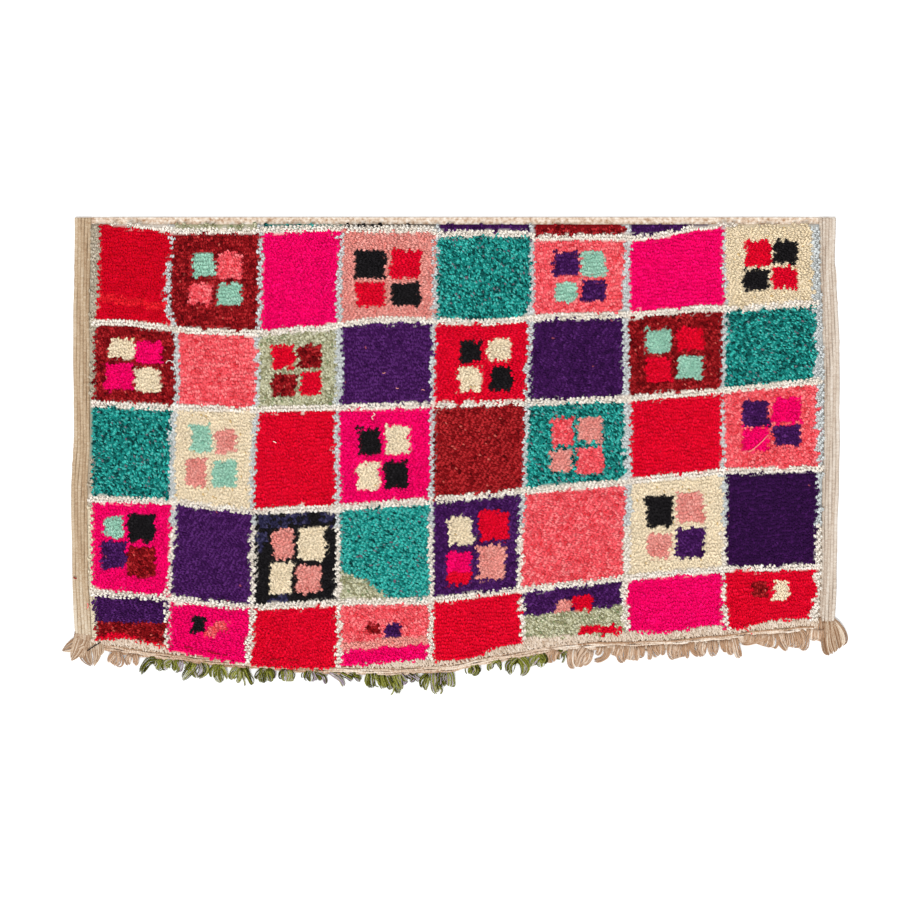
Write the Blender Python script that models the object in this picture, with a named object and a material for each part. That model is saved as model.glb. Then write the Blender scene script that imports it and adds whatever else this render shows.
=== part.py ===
"""A hand-knotted wool rug lying flat: one cloth with its selvedges and pile, a twined cord with
undyed warp tufts along its near end, green yarn tufts tied to that cord, and a tassel at each
near corner. Metres, +Z up, the underside on z = 0, the plain far end at +Y."""

from collections import namedtuple
from math import cos, radians, sin

import bmesh
import bpy
import numpy as np

# The cloth
WEAVE_HEIGHT = 0.0045  # flat weave of the hem, and under the pile
PILE_HEIGHT = 0.0160  # from the floor to the top of the pile
PILE_LUMP = 0.0013  # how far the top of the pile rises and dips
SELVEDGE_WIDTH = 0.031
SELVEDGE_CORDS = 5  # warp bundles that stand up as ribs along each selvedge
RIB_CREST = 0.0058
RIB_VALLEY = 0.0036
HEM_WIDTH = 0.014  # plain weave that closes the far end
RIM_SCALLOP = 0.0026  # how far the knots lean out over the selvedge, row about
CELLS_PER_BLOCK = 5

# The pile's rounded rim: how far out of the weave each step stands, and how full the pile is
RimStep = namedtuple("RimStep", "out full")
PILE_RIM = (
    RimStep(0.002, 0.12),
    RimStep(0.005, 0.74),
    RimStep(0.011, 0.96),
)

# The twined cord along the near end, and the tufts
CORD_WIDTH = 0.0155
CORD_HEIGHT = 0.0080
CORD_TWIST = 0.0011  # the crown rises and falls this much at each turn of the twine
CORD_STEP = 0.0115  # one turn of the twine
CORD_LEFT = -0.688
CORD_RIGHT = 0.690
SEAT_GAP = 0.0004
HEAD_DEPTH = 0.0050
HEAD_HEIGHT = 0.0065
CORNER_HEAD_DEPTH = 0.0120
CORNER_HEAD_HEIGHT = 0.0080
CROWN_PLACE = 0.55  # where a cord's or head's crown stands, from back to front
SHOULDER = 0.75  # height of its shoulders, as a share of the crown's
LOCK_STEPS = 3
LOCK_TIP = 0.34  # width of a lock's tip, as a share of its root
LOCK_TAPER = 1.6  # over 1, so that a lock stays full and narrows late
LOCK_HALF = 0.47  # half the width of a lock, as a share of its root, so that neighbours part
LOCK_TOP = 0.85  # a lock is this much narrower on top than on the floor
LOCK_BEND = 14  # most degrees that a lock turns on its way out

# The woven sides at stations along the rug, from the far end to the near one
Side = namedtuple("Side", "y left right")
SIDES = (
    Side(0.459, -0.751, 0.748),
    Side(0.364, -0.752, 0.747),
    Side(0.286, -0.754, 0.752),
    Side(0.167, -0.754, 0.756),
    Side(0.010, -0.753, 0.756),
    Side(-0.069, -0.758, 0.754),
    Side(-0.148, -0.758, 0.752),
    Side(-0.266, -0.756, 0.750),
    Side(-0.370, -0.750, 0.744),
)

# The cloth's near edge, which the weaving left bowed
NearPoint = namedtuple("NearPoint", "x y")
NEAR_EDGE = (
    NearPoint(-0.770, -0.372),
    NearPoint(-0.700, -0.381),
    NearPoint(-0.654, -0.389),
    NearPoint(-0.595, -0.397),
    NearPoint(-0.500, -0.409),
    NearPoint(-0.384, -0.418),
    NearPoint(-0.266, -0.427),
    NearPoint(-0.120, -0.430),
    NearPoint(-0.008, -0.423),
    NearPoint(0.049, -0.410),
    NearPoint(0.138, -0.395),
    NearPoint(0.205, -0.384),
    NearPoint(0.266, -0.378),
    NearPoint(0.414, -0.374),
    NearPoint(0.520, -0.364),
    NearPoint(0.599, -0.354),
    NearPoint(0.690, -0.346),
    NearPoint(0.770, -0.350),
)

# Where the block columns part, as x, and the block rows, as a share of the length from the near edge
COLUMN_LINES = (-0.713, -0.561, -0.388, -0.228, -0.040, 0.150, 0.339, 0.529, 0.719)
ROW_LINES = (0.020, 0.138, 0.362, 0.580, 0.766, 0.962)
GROUNDS = (
    ("purple", "pink", "red", "coral", "red", "purple", "pink", "red"),
    ("pink", "purple", "black", "teal", "purple", "coral", "cream", "purple"),
    ("teal", "cream", "red", "pink", "maroon", "teal", "red", "coral"),
    ("maroon", "coral", "sage", "purple", "red", "purple", "maroon", "teal"),
    ("red", "maroon", "pink", "rose", "teal", "coral", "pink", "cream"),
)

# Tufts along the near end: where each one starts, how many locks it has, the width of its root,
# the locks' length, and the angles in degrees that they lean by, towards +X, and fan over
Tuft = namedtuple("Tuft", "x locks width length lean fan")
GREEN_TUFTS = (
    Tuft(-0.584, 2, 0.011, 0.046, -46, 8),
    Tuft(-0.562, 2, 0.011, 0.019, -14, 24),
    Tuft(-0.524, 4, 0.021, 0.033, -4, 44),
    Tuft(-0.468, 3, 0.016, 0.028, 2, 36),
    Tuft(-0.431, 2, 0.010, 0.022, -18, 14),
    Tuft(-0.410, 2, 0.011, 0.030, 10, 22),
    Tuft(-0.376, 3, 0.017, 0.023, 0, 54),
    Tuft(-0.336, 2, 0.012, 0.018, 0, 30),
    Tuft(-0.288, 3, 0.016, 0.016, -8, 50),
    Tuft(-0.264, 2, 0.009, 0.019, 14, 14),
    Tuft(-0.229, 2, 0.010, 0.026, 14, 14),
    Tuft(-0.199, 3, 0.015, 0.013, 0, 40),
    Tuft(-0.169, 3, 0.014, 0.027, -6, 26),
    Tuft(-0.146, 2, 0.009, 0.027, -2, 12),
    Tuft(-0.121, 3, 0.014, 0.036, 2, 18),
    Tuft(-0.094, 3, 0.014, 0.016, 4, 36),
    Tuft(-0.063, 2, 0.011, 0.028, 0, 22),
    Tuft(-0.037, 3, 0.013, 0.036, 4, 18),
    Tuft(-0.016, 2, 0.010, 0.023, 16, 14),
    Tuft(0.034, 3, 0.015, 0.018, -6, 40),
    Tuft(0.077, 2, 0.014, 0.022, 0, 52),
    Tuft(0.119, 4, 0.024, 0.032, 0, 58),
    Tuft(0.160, 3, 0.016, 0.023, -2, 30),
    Tuft(0.208, 2, 0.010, 0.015, 0, 8),
)
UNDYED_TUFTS = (
    Tuft(-0.672, 2, 0.0, 0.026, -6, 34),
    Tuft(-0.641, 2, 0.0, 0.018, 0, 20),
    Tuft(0.190, 2, 0.0, 0.021, 0, 4),
    Tuft(0.241, 3, 0.0, 0.038, -2, 18),
    Tuft(0.284, 2, 0.0, 0.023, -16, 16),
    Tuft(0.339, 3, 0.0, 0.026, 0, 26),
    Tuft(0.374, 2, 0.0, 0.020, 4, 18),
    Tuft(0.403, 1, 0.0, 0.015, 0, 0),
    Tuft(0.441, 3, 0.0, 0.026, 4, 34),
    Tuft(0.476, 2, 0.0, 0.020, -12, 20),
    Tuft(0.506, 2, 0.0, 0.022, 8, 20),
    Tuft(0.533, 2, 0.0, 0.019, 0, 8),
    Tuft(0.557, 2, 0.0, 0.031, 12, 8),
    Tuft(0.602, 3, 0.0, 0.017, 0, 34),
    Tuft(0.653, 4, 0.0, 0.026, 2, 34),
)

# The tassels in which the selvedges end, with the same columns
CORNER_TASSELS = {
    "corner_tassel_left": Tuft(-0.728, 7, 0.030, 0.034, -24, 88),
    "corner_tassel_right": Tuft(0.731, 5, 0.022, 0.033, 12, 44),
}

# Wool colours, as linear red, green and blue
COLOURS = {
    "red": (0.63, 0.005, 0.025),
    "maroon": (0.17, 0.010, 0.013),
    "pink": (0.87, 0.002, 0.145),
    "coral": (0.83, 0.11, 0.13),
    "rose": (0.75, 0.28, 0.25),
    "teal": (0.010, 0.24, 0.20),
    "sage": (0.42, 0.43, 0.26),
    "purple": (0.050, 0.010, 0.11),
    "black": (0.012, 0.012, 0.015),
    "cream": (0.78, 0.66, 0.45),
    "ivory": (0.80, 0.74, 0.65),
    "undyed": (0.62, 0.48, 0.33),
    "green": (0.10, 0.15, 0.020),
}
WOOL_ROUGHNESS = 0.92
SLOTS = ["undyed"] + sorted({name for row in GROUNDS for name in row})


def make_wool(name):
    """A matt wool of the named colour."""
    wool = bpy.data.materials.new("wool_" + name)
    wool.use_nodes = True
    shader = wool.node_tree.nodes["Principled BSDF"]
    shader.inputs["Base Color"].default_value = (*COLOURS[name], 1.0)
    shader.inputs["Roughness"].default_value = WOOL_ROUGHNESS
    shader.inputs["Metallic"].default_value = 0.0
    return wool


def table_column(table, name):
    return np.array([getattr(row, name) for row in table])


def side_x(y, name):
    """The x of the left or right side at y, straight between the stations."""
    return np.interp(-np.asarray(y), -table_column(SIDES, "y"), table_column(SIDES, name))


def near_y(x):
    """The y of the cloth's near edge at x, straight between the columns of the pile."""
    bends = np.concatenate([[NEAR_EDGE[0].x], pile_columns(), [NEAR_EDGE[-1].x]])
    heights = np.interp(bends, table_column(NEAR_EDGE, "x"), table_column(NEAR_EDGE, "y"))
    return np.interp(x, bends, heights)


def near_facing(x):
    """The angle in degrees, from +X, that the near edge faces at x."""
    rise = near_y(x + CORD_STEP) - near_y(x - CORD_STEP)
    return float(np.degrees(np.arctan2(rise, 2 * CORD_STEP))) - 90


def heading(degrees_from_x):
    return np.array([cos(radians(degrees_from_x)), sin(radians(degrees_from_x))])


def finish(bm, name, wools):
    """Turns the bmesh into a smooth object of this name, with these wools in its slots."""
    bmesh.ops.recalc_face_normals(bm, faces=bm.faces)
    mesh = bpy.data.meshes.new(name)
    bm.to_mesh(mesh)
    bm.free()
    mesh.shade_smooth()
    mesh.set_sharp_from_angle(angle=radians(50))
    for wool in wools:
        mesh.materials.append(wool)
    made = bpy.data.objects.new(name, mesh)
    bpy.context.collection.objects.link(made)
    return made


def block_shares(lines):
    """Each block's lines and the steps between them, in one rising list."""
    steps = [np.linspace(a, b, CELLS_PER_BLOCK, endpoint=False) for a, b in zip(lines, lines[1:])]
    return np.concatenate(steps + [np.array(lines[-1:])])


def pile_columns():
    """The x of each column of points in the pile, inside its rim."""
    return block_shares(COLUMN_LINES)[1:-1]


def selvedge_profile():
    """Distances from the side, and heights, across the ribs of one selvedge."""
    count = 2 * SELVEDGE_CORDS + 1
    heights = np.where(np.arange(count) % 2 == 1, RIB_CREST, RIB_VALLEY)
    return np.linspace(0.0, SELVEDGE_WIDTH, count), heights


def cloth_rows():
    """Rows as shares of the length from the near edge, and how full the pile is in each."""
    length = SIDES[0].y - near_y(0.0)
    hem = 1.0 - HEM_WIDTH / length
    pile_end = hem - PILE_RIM[-1].out / length
    near = [(0.0, 0.0), (PILE_RIM[1].out / length, PILE_RIM[1].full)]
    field = [(share, 1.0) for share in block_shares(ROW_LINES)]
    far = [(pile_end, PILE_RIM[-1].full), (hem, 0.0), (1.0, 0.0)]
    return near + field + far


def cloth_line(share, fullness, lean):
    """The points of one row, from the left side over both selvedges and the pile to the right side.

    The pile's top is the weave's height plus the pile's, times its fullness, with its lumps; the
    rim on each side leans in or out over the selvedge.
    """
    y = near_y(0.0) + share * (SIDES[0].y - near_y(0.0))
    rib_out, rib_height = selvedge_profile()
    pile = (PILE_HEIGHT - WEAVE_HEIGHT) * fullness
    rim_out = SELVEDGE_WIDTH + table_column(PILE_RIM, "out") + lean
    rim_height = WEAVE_HEIGHT + pile * table_column(PILE_RIM, "full")
    out = np.concatenate([rib_out, rim_out])
    height = np.concatenate([rib_height, rim_height])
    middle = pile_columns()
    top = WEAVE_HEIGHT + pile + pile_lump(middle, share) * fullness
    x = np.concatenate([side_x(y, "left") + out, middle, (side_x(y, "right") - out)[::-1]])
    z = np.concatenate([height, top, height[::-1]])
    y = near_y(x) + share * (SIDES[0].y - near_y(x))
    return np.column_stack([x, y, z])


def make_rug():
    """One closed solid: ribbed selvedges, a lumpy pile field, a flat hem, and a flat underside."""
    bm = bmesh.new()
    grid = []
    for j, (share, fullness) in enumerate(cloth_rows()):
        scallop = RIM_SCALLOP if j % 2 else -RIM_SCALLOP
        points = cloth_line(share, fullness, scallop if fullness == 1.0 else 0.0)
        grid.append([bm.verts.new(point) for point in points])
    first_column = 2 * SELVEDGE_CORDS + len(PILE_RIM)
    first_row = 2
    for j, (row, next_row) in enumerate(zip(grid, grid[1:])):
        for i in range(len(row) - 1):
            face = bm.faces.new((row[i], row[i + 1], next_row[i + 1], next_row[i]))
            face.material_index = ground_slot(i - first_column, j - first_row)
    rim_edges = [edge for edge in bm.edges if edge.is_boundary]
    skirt = bmesh.ops.extrude_edge_only(bm, edges=rim_edges)["geom"]
    floor_edges = [part for part in skirt if isinstance(part, bmesh.types.BMEdge) and part.is_boundary]
    for vert in {vert for edge in floor_edges for vert in edge.verts}:
        vert.co.z = 0.0
    bmesh.ops.contextual_create(bm, geom=floor_edges)
    return finish(bm, "rug", [make_wool(name) for name in SLOTS])


def pile_lump(x, share):
    """Rise of the pile's top, in three waves that cross and don't repeat together."""
    wave_a = np.sin(61 * x + 9 * share)
    wave_b = np.sin(37 * share - 23 * x + 1.3)
    wave_c = np.sin(88 * share + 47 * x + 0.4)
    return PILE_LUMP * (wave_a + wave_b + wave_c) / 3


def ground_slot(column, row):
    """The slot of a cell counted from the first block's corner, or the undyed one outside the blocks."""
    block = column // CELLS_PER_BLOCK
    line = row // CELLS_PER_BLOCK
    if 0 <= block < len(GROUNDS[0]) and 0 <= line < len(GROUNDS):
        return SLOTS.index(GROUNDS[line][block])
    return 0


def sweep(bm, sections):
    """Joins sections of equal point counts into a closed bar, and returns its front faces.

    Each section runs from the low back point over the top to the high and the low front point.
    """
    rings = [[bm.verts.new(point) for point in points] for points in sections]
    count = len(rings[0])
    front = []
    for a, b in zip(rings, rings[1:]):
        for k in range(count):
            after = (k + 1) % count
            face = bm.faces.new((a[k], a[after], b[after], b[k]))
            if k == count - 2:
                front.append(face)
    bm.faces.new(rings[0])
    bm.faces.new(rings[-1])
    return front


def grow_lock(bm, face, start_angle, bend, length):
    """Draws one front face out into a lock that tapers, turns by bend, and lies on the floor."""
    low = sorted(face.verts, key=lambda vert: vert.co.z)[:2]
    place = np.array([vert.co.xy for vert in low]).mean(axis=0)
    width = (low[0].co.xy - low[1].co.xy).length
    height = max(vert.co.z for vert in face.verts)
    leftward = heading(start_angle + 90)
    for step in range(1, LOCK_STEPS + 1):
        share = step / LOCK_STEPS
        angle = start_angle + bend * share
        thin = 1 - (1 - LOCK_TIP) * share**LOCK_TAPER
        aside = heading(angle + 90) * width * thin * LOCK_HALF
        face = bmesh.ops.extrude_discrete_faces(bm, faces=[face])["faces"][0]
        next_place = place + heading(angle) * length / LOCK_STEPS
        for vert in face.verts:
            raised = vert.co.z > height * LOCK_TIP * 0.5
            side = 1 if np.dot(np.array(vert.co.xy) - place, leftward) > 0 else -1
            spot = next_place + side * aside * (LOCK_TOP if raised else 1.0)
            vert.co = (spot[0], spot[1], height * thin if raised else 0.0)
        place = next_place


def grow_locks(bm, faces, facing, fan, length, shuffle):
    """One lock from each face, fanned out about the facing angle, of uneven length and bend."""
    count = len(faces)
    bend = shuffle.uniform(-LOCK_BEND, LOCK_BEND)
    for i, face in enumerate(faces):
        share = (i + 0.5) / count - 0.5
        reach = length * shuffle.uniform(0.82, 1.08)
        grow_lock(bm, face, facing + fan * share, bend, reach)


def section(back, front, height):
    """A five-point section from back to front over a rounded top, flat on the floor."""
    crown = back * (1 - CROWN_PLACE) + front * CROWN_PLACE
    shoulder = height * SHOULDER
    return ((*back, 0.0), (*back, shoulder), (*crown, height), (*front, shoulder), (*front, 0.0))


def head_sections(root, square_on, tuft, depth, height):
    """Sections of a tuft's head, side by side along what it is seated on, wider in front."""
    sections = []
    for i in range(tuft.locks + 1):
        share = i / tuft.locks - 0.5
        back = root + heading(square_on + 90) * tuft.width * share
        front = back + heading(square_on + tuft.lean + tuft.fan * share) * depth
        sections.append(section(back, front, height))
    return sections


def make_tuft(name, tuft, stand_off, depth, height, wool, shuffle):
    """A head this far outside the cloth's near edge, with its locks, as one node."""
    square_on = near_facing(tuft.x)
    root = np.array([tuft.x, near_y(tuft.x) - stand_off])
    bm = bmesh.new()
    front = sweep(bm, head_sections(root, square_on, tuft, depth, height))
    grow_locks(bm, front, square_on + tuft.lean, tuft.fan, tuft.length, shuffle)
    return finish(bm, name, [wool])


def make_end_cord(wool, shuffle):
    """The twined cord just outside the near edge, with the undyed tufts drawn out of its front."""
    turns = round((CORD_RIGHT - CORD_LEFT) / CORD_STEP)
    sections = []
    for i, x in enumerate(np.linspace(CORD_LEFT, CORD_RIGHT, turns + 1)):
        back = np.array([x, near_y(x) - SEAT_GAP])
        front = back - np.array([0.0, CORD_WIDTH])
        sections.append(section(back, front, CORD_HEIGHT + (CORD_TWIST if i % 2 else -CORD_TWIST)))
    bm = bmesh.new()
    front_faces = sweep(bm, sections)
    for tuft in UNDYED_TUFTS:
        first = round((tuft.x - CORD_LEFT) / CORD_STEP - tuft.locks / 2)
        faces = front_faces[first : first + tuft.locks]
        grow_locks(bm, faces, near_facing(tuft.x) + tuft.lean, tuft.fan, tuft.length, shuffle)
    return finish(bm, "end_cord", [wool])


def main():
    for old in list(bpy.data.objects):
        bpy.data.objects.remove(old, do_unlink=True)
    shuffle = np.random.default_rng(11)
    undyed = make_wool("undyed")
    green = make_wool("green")
    make_rug()
    make_end_cord(undyed, shuffle)
    for number, tuft in enumerate(GREEN_TUFTS, start=1):
        name = f"green_tuft_{number:02d}"
        make_tuft(name, tuft, CORD_WIDTH + 2 * SEAT_GAP, HEAD_DEPTH, HEAD_HEIGHT, green, shuffle)
    for name, tassel in CORNER_TASSELS.items():
        make_tuft(name, tassel, SEAT_GAP, CORNER_HEAD_DEPTH, CORNER_HEAD_HEIGHT, undyed, shuffle)


main()
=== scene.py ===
import bpy
import numpy as np
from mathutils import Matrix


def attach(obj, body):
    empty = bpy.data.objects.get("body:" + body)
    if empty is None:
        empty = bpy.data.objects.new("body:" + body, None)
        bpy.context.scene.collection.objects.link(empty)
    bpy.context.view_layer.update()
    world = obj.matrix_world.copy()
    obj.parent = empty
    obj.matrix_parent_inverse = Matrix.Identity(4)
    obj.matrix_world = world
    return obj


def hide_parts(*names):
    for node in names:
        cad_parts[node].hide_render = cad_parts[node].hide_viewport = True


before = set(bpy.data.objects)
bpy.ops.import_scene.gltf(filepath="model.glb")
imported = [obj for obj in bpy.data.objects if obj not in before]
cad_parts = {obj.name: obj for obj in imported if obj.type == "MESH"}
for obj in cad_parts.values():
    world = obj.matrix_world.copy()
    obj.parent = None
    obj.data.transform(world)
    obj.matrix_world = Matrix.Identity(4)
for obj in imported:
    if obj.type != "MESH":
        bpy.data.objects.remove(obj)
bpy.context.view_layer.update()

scene = bpy.context.scene
mm = 0.001
shuffle = np.random.default_rng(27)
fleckTone = 1.2  # a tone over 1 takes the colour of the flecks
strandApart = 3.7  # how far apart the streaks of two strands are read in the noise

# The woven cloth. Its sides are listed as (y, left x, right x), its near edge as (x, y), in millimetres.
cloth = {
    "weaveHeight": 4.5,
    "farEdge": 459,
    "nearMost": -430,  # where its near edge comes nearest
    "nearMean": -420,
    "length": 880,  # the mean one
    "hemWidth": 14,
    "hemRidge": 0.5,
    "hemRidges": 4,
    "hemSteps": 16,
    "selvedgeWidth": 31,
    "cords": 5,
    "ribCrest": 4.6,
    "ribValley": 3.2,
    "middleColumns": 14,
    "rowSpacing": 6,
    "endDrop": 1.2,  # how much lower its first row and its last one are
    "sideWander": 0.8,
    "sides": [
        (459, -751, 748), (364, -752, 747), (286, -754, 752), (167, -754, 756), (10, -753, 756),
        (-69, -758, 754), (-148, -758, 752), (-266, -756, 750), (-370, -750, 744),
    ],
    "nearEdge": [
        (-770, -372), (-700, -381), (-654, -389), (-595, -397), (-500, -409), (-384, -418),
        (-266, -427), (-120, -430), (-8, -423), (49, -410), (138, -395), (205, -384), (266, -378),
        (414, -374), (520, -364), (599, -354), (690, -346), (770, -350),
    ],
}

# The knot chart, in millimetres from the rug's middle: x to the right, y to the far end.
# Lines along the rug are listed as (y, x) and lines across it as (x, y); the last one across is
# where the undyed knots begin. Grounds run from the far row to the near one.
chart = {
    "alongLines": [
        [(441, -711), (250, -717), (91, -721), (-97, -727), (-280, -721), (-374, -715)],
        [(437, -561), (296, -569), (207, -551), (158, -548), (98, -549), (59, -558), (0, -559),
         (-79, -560), (-138, -558), (-217, -561), (-266, -566), (-335, -567), (-394, -571)],
        [(433, -386), (315, -383), (256, -387), (197, -390), (138, -388), (98, -392), (39, -396),
         (-79, -401), (-158, -398), (-217, -398), (-335, -402), (-429, -410)],
        [(437, -223), (315, -229), (256, -230), (158, -227), (39, -234), (-20, -234), (-79, -232),
         (-158, -230), (-217, -230), (-335, -230), (-429, -230)],
        [(433, -37), (355, -39), (296, -39), (158, -43), (0, -45), (-59, -47), (-217, -49), (-414, -51)],
        [(422, 150), (335, 150), (276, 148), (158, 144), (39, 142), (-20, 138), (-138, 130),
         (-256, 126), (-384, 134)],
        [(418, 339), (335, 335), (217, 334), (108, 337), (0, 339), (-118, 339), (-296, 331), (-364, 337)],
        [(441, 530), (217, 530), (98, 526), (0, 526), (-118, 530), (-197, 530), (-276, 526), (-351, 534)],
        [(451, 709), (296, 713), (236, 718), (158, 719), (0, 723), (-98, 723), (-197, 719),
         (-296, 717), (-339, 703)],
    ],
    "acrossLines": [
        [(-725, 464), (-692, 458), (-668, 446), (-567, 435), (-554, 430), (-396, 430), (-382, 433),
         (-229, 437), (-209, 435), (-51, 435), (-32, 425), (28, 427), (142, 424), (156, 418), (323, 418),
         (347, 416), (412, 424), (461, 435), (520, 441), (559, 450), (717, 460)],
        [(-721, 250), (-650, 250), (-603, 244), (-524, 234), (-426, 230), (-388, 230), (-347, 232),
         (-307, 238), (-258, 238), (-229, 246), (-150, 256), (-110, 256), (8, 252), (47, 250),
         (87, 252), (185, 262), (284, 264), (382, 268), (422, 272), (481, 278), (532, 278),
         (559, 276), (599, 282), (678, 288), (721, 286)],
        [(-725, 91), (-552, 83), (-394, 79), (-230, 83), (-41, 89), (142, 93), (337, 100), (526, 116),
         (723, 136)],
        [(-729, -97), (-561, -102), (-400, -122), (-230, -114), (-47, -100), (134, -81), (337, -63),
         (526, -43), (725, -37)],
        [(-725, -280), (-567, -292), (-402, -311), (-232, -301), (-49, -297), (128, -276), (337, -252),
         (526, -236), (721, -230)],
        [(-717, -376), (-701, -376), (-642, -374), (-577, -390), (-563, -400), (-524, -406),
         (-485, -414), (-435, -424), (-410, -427), (-396, -429), (-327, -433), (-268, -435),
         (-238, -431), (-219, -429), (-179, -424), (-110, -418), (-61, -416), (-39, -418), (-2, -418),
         (47, -408), (71, -394), (87, -390), (122, -386), (142, -370), (205, -368), (284, -366),
         (323, -362), (343, -359), (392, -362), (441, -359), (481, -351), (524, -349), (540, -355),
         (559, -355), (589, -347), (619, -339), (648, -337), (717, -335)],
    ],
    "grounds": [
        ["ivory", "sage", "teal", "black", "purple", "maroon", "purple", "cream"],
        ["red", "maroon", "pink", "rose", "teal", "coral", "pink", "cream"],
        ["maroon", "coral", "sage", "purple", "red", "purple", "maroon", "teal"],
        ["teal", "cream", "red", "pink", "maroon", "teal", "red", "coral"],
        ["pink", "purple", "black", "teal", "purple", "coral", "cream", "purple"],
        ["purple", "pink", "red", "coral", "red", "purple", "pink", "red"],
    ],
    "alongHalf": 4.9,  # half the width of a line along the rug
    "acrossHalf": 5.9,
    "outerHalf": 8.0,  # of the two lines beside the selvedges
    "ivoryBelow": -150,  # nearer than this the lines along the rug are ivory, not grey-blue
    "oatBelow": -108,  # nearer than this the leftmost line is the colour of oats, not of stone
    "blockInset": 1.5,  # how much narrower than this each small block is on both sides
    "lineSwell": (0.22, 0.16),  # how much a line's width changes from column to column and from row to row
    "swellPatches": 8,  # after this many patches the changes from column to column repeat
    "corner": (-900, -600),  # outside the rug: columns and rows of knots are counted from here
    # Small blocks, as (left, right, near, far)
    "blocks": {
        "mint": [
            (-520, -473, 339, 386), (-469, -420, 284, 327), (246, 297, 341, 390), (193, 240, 290, 329),
            (374, 427, 191, 238), (435, 487, 140, 185), (-524, -481, -6, 49), (-481, -431, -73, -20),
            (-695, -654, -173, -132),
        ],
        "coral": [
            (-471, -420, 337, 388), (-526, -479, 286, 329), (187, 234, 8, 65), (236, 292, -49, 4),
            (-491, -468, -366, -343), (-472, -448, -357, -337),
        ],
        "black": [
            (-201, -136, 337, 394), (-130, -69, 282, 329), (624, 676, 368, 412), (567, 619, 315, 355),
            (6, 53, 171, 213), (67, 114, 118, 164), (-193, -148, -10, 43), (-142, -93, -75, -22),
            (-648, -591, -181, -128), (374, 427, -152, -91), (-522, -492, -359, -329),
        ],
        "red": [
            (-130, -67, 339, 394), (-197, -138, 282, 329), (569, 624, 362, 412), (621, 674, 319, 361),
            (-364, -315, 160, 207), (-307, -264, 108, 154), (433, 489, 195, 240), (372, 427, 134, 181),
            (45, 104, -179, -122), (-18, 32, -266, -236), (230, 270, -317, -288), (244, 329, -364, -347),
        ],
        "purple": [
            (191, 244, 341, 390), (246, 296, 292, 333), (563, 619, 45, 97), (624, 682, 8, 47),
            (-701, -648, -234, -181), (433, 491, -213, -154), (-140, -106, -370, -341),
        ],
        "cream": [
            (-682, -630, 179, 219), (-634, -581, 116, 160), (63, 112, 177, 217), (4, 53, 116, 162),
            (-140, -89, -8, 47), (-195, -148, -81, -26), (-313, -254, -217, -154), (-366, -321, -282, -223),
            (-16, 37, -187, -132), (624, 658, -296, -258),
        ],
        "pink": [
            (-632, -577, 171, 213), (-691, -634, 116, 169), (623, 682, 51, 102), (565, 619, -4, 43),
            (-18, 32, -240, -201),
        ],
        "maroon": [
            (-311, -264, 160, 207), (-364, -313, 106, 152), (-648, -589, -250, -191),
            (-179, -148, -364, -343), (583, 617, -290, -262),
        ],
        "rose": [
            (-475, -431, -6, 41), (-532, -491, -73, -16), (240, 290, 16, 65), (185, 229, -43, 0),
            (-364, -319, -213, -158), (-315, -262, -282, -227), (43, 100, -256, -189),
            (433, 491, -144, -85), (376, 426, -213, -164), (197, 227, -319, -296),
        ],
    },
    "navyPatches": [(-402, -240, -160, -124), (-402, -372, -200, -124), (-372, -325, -308, -288)],
    "navyFrom": -0.1,  # the higher, the fewer knots of a patch are navy
    # Blocks that were dyed darker or lighter: row, column and how much the tone shifts
    "dyeShift": [
        (1, 0, -0.45), (1, 4, -0.06), (1, 7, -0.25), (2, 3, 0.18), (2, 5, -0.1), (2, 7, -0.12),
        (3, 0, -0.08), (3, 4, 0.22), (4, 1, 0.22), (4, 3, 0.32), (4, 7, -0.65),
    ],
    # Changes of yarn inside a block: row, column, the yarn nearer than this line, and the line
    "bands": [
        (1, 0, "scarlet", [(-720, 310), (-583, 290)]),
        (1, 0, "red", [(-720, 296), (-583, 274)]),
        (5, 0, "maroon", [(-720, -339), (-570, -339)]),
        (5, 0, "red", [(-701, -366), (-662, -359), (-583, -380)]),
        (5, 3, "rose", [(-219, -380), (-55, -366)]),
        (5, 3, "pink", [(-219, -396), (-170, -390), (-110, -388), (-55, -380)]),
        (5, 5, "sage", [(146, -329), (195, -321), (284, -311), (323, -307)]),
        (4, 3, "sage", [(-229, -240), (-179, -256), (-154, -276), (-130, -297), (-125, -420)]),
    ],
}

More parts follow.
